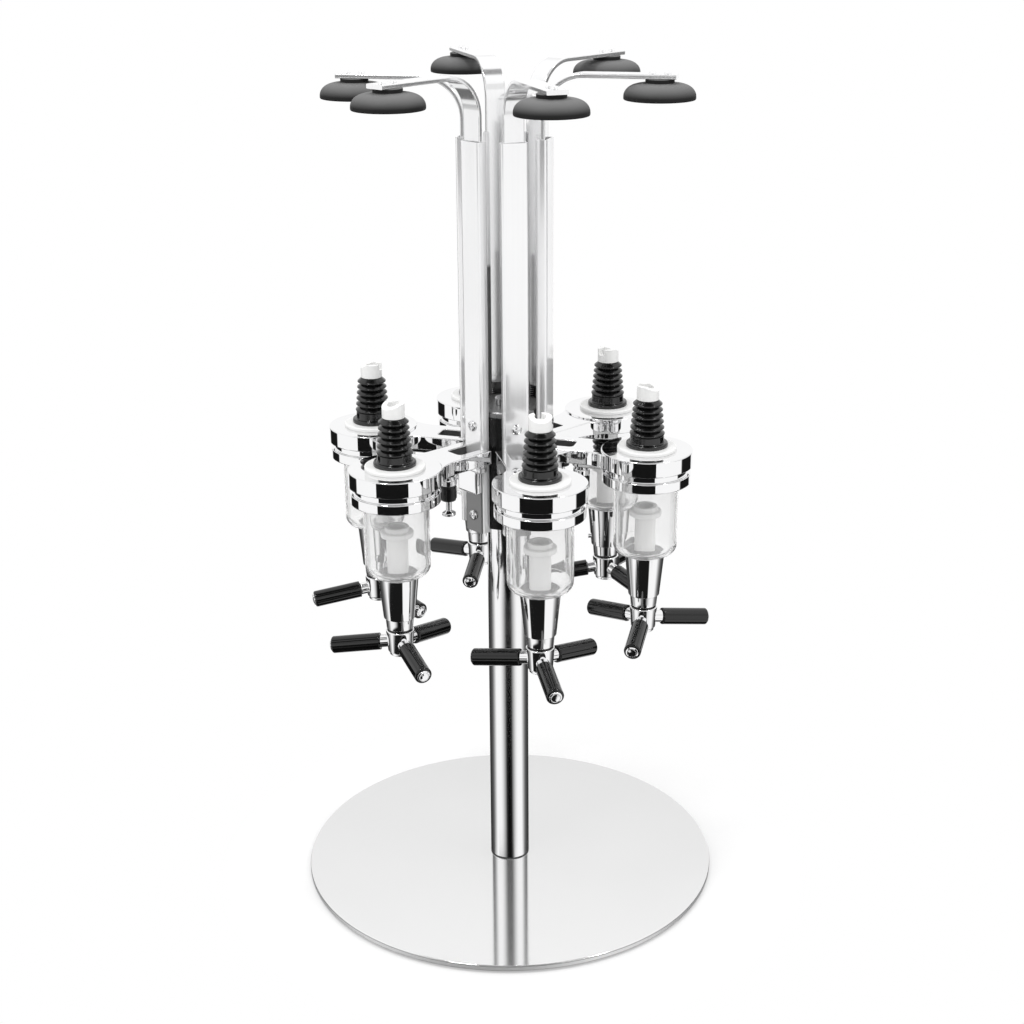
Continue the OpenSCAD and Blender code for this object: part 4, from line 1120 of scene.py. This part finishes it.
carousel_piece("spout_seals", seal, SEAL_RUBBER, "foot_rubber", out=MEASURE_R)
nub = turned([(0, 0, 0), (VENT_R, 0, 0), (VENT_R, VENT_OUT, 0.6), (0, VENT_OUT, 0)], segments=32)
nub = moved(nub, spin(VENT_TURN) @ shift(SPOUT_END_R, 0, SPOUT_LOW + VENT_RISE) @ spin(90, "Y"))
carousel_piece("spout_cups", joined([spout, nub]), CHROME, "cast_chrome", "spouts", out=MEASURE_R)
for i in ALL:
    stem = turned([
        (STEM_BORE, stem_low, 0.2), (LIP_R, stem_low, 0.5), (LIP_R, lip_top, 0.5), (SPINDLE_R, lip_top, 0.2),
        (SPINDLE_R, neck_rim, 0.2), (NECK_END_R, neck_rim, 0.4), (NECK_R, SPOUT_LOW, 0), (NECK_R, sleeve_top, 0.3),
        (ROD_R, sleeve_top, 0.3), (ROD_R, disc_low, 0), (DISC_R, disc_low, 0.3), (DISC_R, disc_top, 0.3),
        (ROD_R, disc_top, 0), (ROD_R, stem_top, 0.5), (0, stem_top, 0), (0, bore_top, 0), (STEM_BORE, bore_top, 0)],
        True, 96)
    stem = moved(stem, measure(i))
    single_piece(f"sliding_stem_{i}", stem, CHROME, f"valve_{i}", "chrome_tube", f"valve_stem_{i}")

# %% [markdown]
# ## Levers
# A glass pushed under the measure lifts one of three drooping levers on a hub that turns on the stem.
# The photograph shows each set at its own angle, so those six angles are kept as the levers' rest.
# The same tree that goes round the turntable puts three rods, three grips and three plugs round each hub.

# %% Build the hubs, rods, plugs and grips
LEVER_TURNS = (-1.6, 34.4, 22, 39, 30.7, 69.5)
LEVER_COUNT, LEVER_DROOP = 3, 8
HUB_R, HUB_LOW_R, HUB_H, ROOT_SHARE = 9.85, 8.6, 16.2, 0.49
LEVER_ROD_R, CORE_R, ROD_INSET = 4.5, 3.2, 2.2
GRIP_START, GRIP_L, GRIP_R = 14.2, 34.8, 6
PLUG_R, PLUG_H = 4.4, 1.4
# Radius and height of the plug's groove and dome as shares of its size, and their rounding.
PLUG_DOME = [(1, 0.4, 0.3), (0.78, 0.7, 0.1), (0.72, 0.35, 0.1), (0.66, 0.75, 0.2), (0.3, 0.97, 1.5), (0, 1, 0)]
SPACER_R = 8.9
lever_low = lip_top + NEAR
hub_top = lever_low + HUB_H
rod_start, rod_end, grip_end = HUB_R - ROD_INSET, GRIP_START - NEAR, GRIP_START + GRIP_L
along_lever = shift(0, 0, lever_low + HUB_H * ROOT_SHARE) @ spin(LEVER_DROOP, "Y") @ spin(90, "Y")


def round_hub(name, unit, finish, i):
    """Three copies round the hub's own axis, moved onto measure i."""
    obj = copies(new_object(name, moved(unit, along_lever), finish), LEVER_COUNT, LEVER_TURNS[i - 1], finish)
    obj.data.transform(measure(i))
    return obj


for i in ALL:
    plug = [(PLUG_R * r, grip_end + PLUG_H * z, edge) for r, z, edge in PLUG_DOME]
    rods = round_hub(f"lever_rods_{i}", turned([
        (0, rod_start, 0), (LEVER_ROD_R, rod_start, 0), (LEVER_ROD_R, rod_end, 0.6), (CORE_R, rod_end, 0),
        (CORE_R, grip_end + SLIP, 0), (PLUG_R, grip_end + SLIP, 0), *plug], segments=48), CHROME, i)
    lever = bmesh.new()
    lever.from_mesh(rods.data)
    bpy.data.objects.remove(rods)
    lever_hub = turned([
        (SPINDLE_R + SLIP, lever_low, 0.4), (HUB_LOW_R, lever_low, 1.0), (HUB_R, hub_top, 0.8),
        (SPINDLE_R + SLIP, hub_top, 0.4)], True, 96)
    lever = joined([lever, moved(lever_hub, measure(i))])
    single_piece(f"lever_cross_{i}", lever, CHROME, f"lever_{i}", "cast_chrome", f"lever_hub_{i}")
    spacer = ring(SPINDLE_R + SLIP, SPACER_R, hub_top + 0.1, neck_rim, (0.1, 0.2, 0.2, 0.1), 72)
    single_piece(f"stem_spacer_{i}", moved(spacer, measure(i)), BLACK_PLASTIC, f"valve_{i}", "black_plastic")
    grip = ring(CORE_R + SLIP, GRIP_R, GRIP_START, grip_end, (0.3, 0.6, 2.0, 0.3), 56)
    grips = polished(round_hub(f"grip_set_{i}", grip, GRIP, i))
    dressed(grips, f"lever_{i}", "grip_plastic", f"lever_grips_{i}")

# %% [markdown]
# ## Bottle arms and pads
# Each arm is one strip of metal that comes up out of its rail and bends out over the bottle.
# Its section has rounded edges and is carried along the path: upright, a quarter bend and a level end.
# A rubber pad is riveted under the end, and one turned outline gives its domed shoulder and thin lip.

# %% Bend the arms and mould the pads
STRIP_W, STRIP_T, STRIP_EDGE, BEND_R = 14.2, 3, 0.7, 25
ARM_REACH, ARM_TURN, PAD_BACK = 115, 5.2, 11.3
RIVET_R, RIVET_GAP = 1.5, 10
PAD_R, PAD_H, PAD_NECK_R, PAD_EDGE = 23.6, 10.2, 9.5, 0.6
DOME_START, DOME_SIDE, DOME_RISE = 1, 0.85, 0.95
BEND_STEPS, DOME_STEPS = 20, 16
channel_mid = RAIL_OUT - RAIL_DEPTH / 2
end_x = ARM_REACH - channel_mid
pad_x = end_x - PAD_BACK


def strip_frames():
    """Frames along the strip's middle, with local X along the path and local Z to the outside of the bend."""
    path = [(0.0, STRIP_LOW, 90.0)]
    bend = BEND_R + STRIP_T / 2
    for step in range(BEND_STEPS + 1):
        angle = 90 - 90 * step / BEND_STEPS
        a = math.radians(angle)
        path.append((bend - bend * math.sin(a), PAD_TOP - BEND_R + bend * math.cos(a), angle))
    path.append((end_x, PAD_TOP + STRIP_T / 2, 0.0))
    return [Matrix.Translation((x, 0, z)) @ spin(-angle, "Y") for x, z, angle in path]


def strip_section():
    half, thick = STRIP_W / 2, STRIP_T / 2
    corners = ((half, -thick), (half, thick), (-half, thick), (-half, -thick))
    return rounded([(*corner, STRIP_EDGE) for corner in corners], True)


def pad_outline():
    """Pad from its hollow underside round the edge and over the domed shoulder to the neck."""
    dome_in, dome_low = PAD_NECK_R + DOME_START, PAD_LOW + PAD_EDGE + DOME_START
    dome_r, dome_h = PAD_R - dome_in, PAD_LOW + PAD_H - dome_low
    angles = [math.radians(90 * step / DOME_STEPS) for step in range(DOME_STEPS + 1)]
    shoulder = [(dome_in + dome_r * math.cos(a) ** DOME_SIDE, dome_low + dome_h * math.sin(a) ** DOME_RISE, 0)
                for a in angles]
    return [(0, PAD_LOW + 1.2, 0), (PAD_R - 3.5, PAD_LOW + 1, 0.6), (PAD_R - 2.5, PAD_LOW, 0.4),
            (PAD_R - 0.3, PAD_LOW, 0.25), (PAD_R, PAD_LOW + PAD_EDGE, 0.3), *shoulder,
            (PAD_NECK_R, PAD_LOW + PAD_H, 0.6), (PAD_NECK_R, PAD_TOP, 0.6), (0, PAD_TOP, 0)]


for i in ALL:
    raised = heights(f"bottle_pad_{i}")[0] - PAD_LOW
    arm_frame = station(i) @ shift(channel_mid, 0, raised) @ spin(ARM_TURN)
    strip = [swept(strip_section(), strip_frames())]
    for side in (-1, 1):
        rivet = turned([
            (0, STRIP_T, 0), (RIVET_R * 1.7, STRIP_T, 0), (RIVET_R * 1.6, STRIP_T + 0.7, 0.5),
            (RIVET_R * 0.8, STRIP_T + RIVET_R, 0.4), (0, STRIP_T + RIVET_R, 0)], segments=28)
        strip.append(moved(rivet, shift(pad_x + side * RIVET_GAP / 2, 0, PAD_TOP)))
    holder, arm = f"bottle_holder_{i}", moved(joined(strip), arm_frame)
    single_piece(f"bent_arm_{i}", arm, STRIP, holder, "arm_metal", f"bottle_arm_{i}")
    pad = moved(turned(pad_outline()), arm_frame @ shift(pad_x))
    single_piece(f"rubber_pad_{i}", pad, PAD, holder, "pad_rubber", f"bottle_pad_{i}")

# %% [markdown]
# ## Springs
# A spring in each spout pushes its stem down again, and one in each rail pulls its arm down onto the bottle.
# Both are wire wound round an axis, so a second tree draws a spiral and gives it a round section.
# Each is wound between the heights of its two ends.

# %% Wind the springs
VALVE_COIL = {"radius": 6.5, "wire": 1.0, "winds": 5.0}
ARM_COIL = {"radius": 1.6, "wire": 0.35, "winds": 60.0}
ARM_SPRING_Y = 4.6
WIND_STEPS, WIRE_SIDES = 14, 7

WIRE, ins, outs = new_group("wound_wire", "Geometry", {
    "Winds": 0.0, "Radius": 0.0, "Height": 0.0, "Wire": 0.0, "Finish": "Material"}, ["Spring"])
spiral = add(WIRE, "GeometryNodeCurveSpiral", {
    "Resolution": WIND_STEPS, "Rotations": ins["Winds"], "Start Radius": ins["Radius"],
    "End Radius": ins["Radius"], "Height": ins["Height"]})[0]
section = add(WIRE, "GeometryNodeCurvePrimitiveCircle", {"Resolution": WIRE_SIDES, "Radius": ins["Wire"]})[0]
wound = add(WIRE, "GeometryNodeCurveToMesh", {"Curve": spiral, "Profile Curve": section, "Fill Caps": True})[0]
finish_tree(WIRE, wound, ins["Finish"], outs[0])


def spring(name, at, fixed_end, mover_end, mover, node, radius, wire, winds):
    """Coil on an axis between two heights, in place of a solid that it hides; mover is not used."""
    low, high = sorted((fixed_end, mover_end))
    values = {"Winds": winds, "Radius": radius * MM, "Height": (high - low - 2 * wire) * MM, "Wire": wire * MM}
    obj = grown(new_object(name, bmesh.new(), INNER_STEEL), WIRE, {**values, "Finish": INNER_STEEL})
    obj.data.transform(at @ shift(0, 0, low + wire))
    polished(obj)
    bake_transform(obj)
    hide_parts(node)
    return obj


coil_low, coil_high = heights("valve_springs")
reel_low = heights("arm_springs")[0]
for i in ALL:
    spring(f"valve_coil_{i}", measure(i), coil_high, coil_low, f"valve_{i}", "valve_springs", **VALVE_COIL)
    beside = station(i) @ shift(channel_mid, ARM_SPRING_Y)
    arm_low = heights(f"bottle_arm_{i}")[0] - NEAR
    coil = spring(f"arm_coil_{i}", beside, reel_low, arm_low, f"bottle_holder_{i}", "arm_springs", **ARM_COIL)
print("springs:", 2 * STATIONS, "faces of the last:", len(coil.data.polygons))

# %% [markdown]
# ## Solids that stay
# The hub, its cap and the fastenings inside keep their solids, because little of them shows.
# Each still gets a finish of its own, so that nothing is left with the plain colour of the drawing.

# %% Finish the remaining solids
# The hub's near-black finish is painted shade for its recess between the rails.
KEPT = {
    "hub": HUB_PAINTED_SHADE, "hub_cap": HUB_STEEL, "pivot_screw": SCREW_CHROME, "base_bolt": SCREW_CHROME,
    "foot_plug": INNER_STEEL, "top_plug": INNER_STEEL, "hub_bushes": BEARING, "thrust_washer": BEARING,
}
for node, finish in KEPT.items():
    mesh = frame["nodes"][node].data
    mesh.materials.clear()
    mesh.materials.append(finish)
print("kept solids:", len(KEPT))
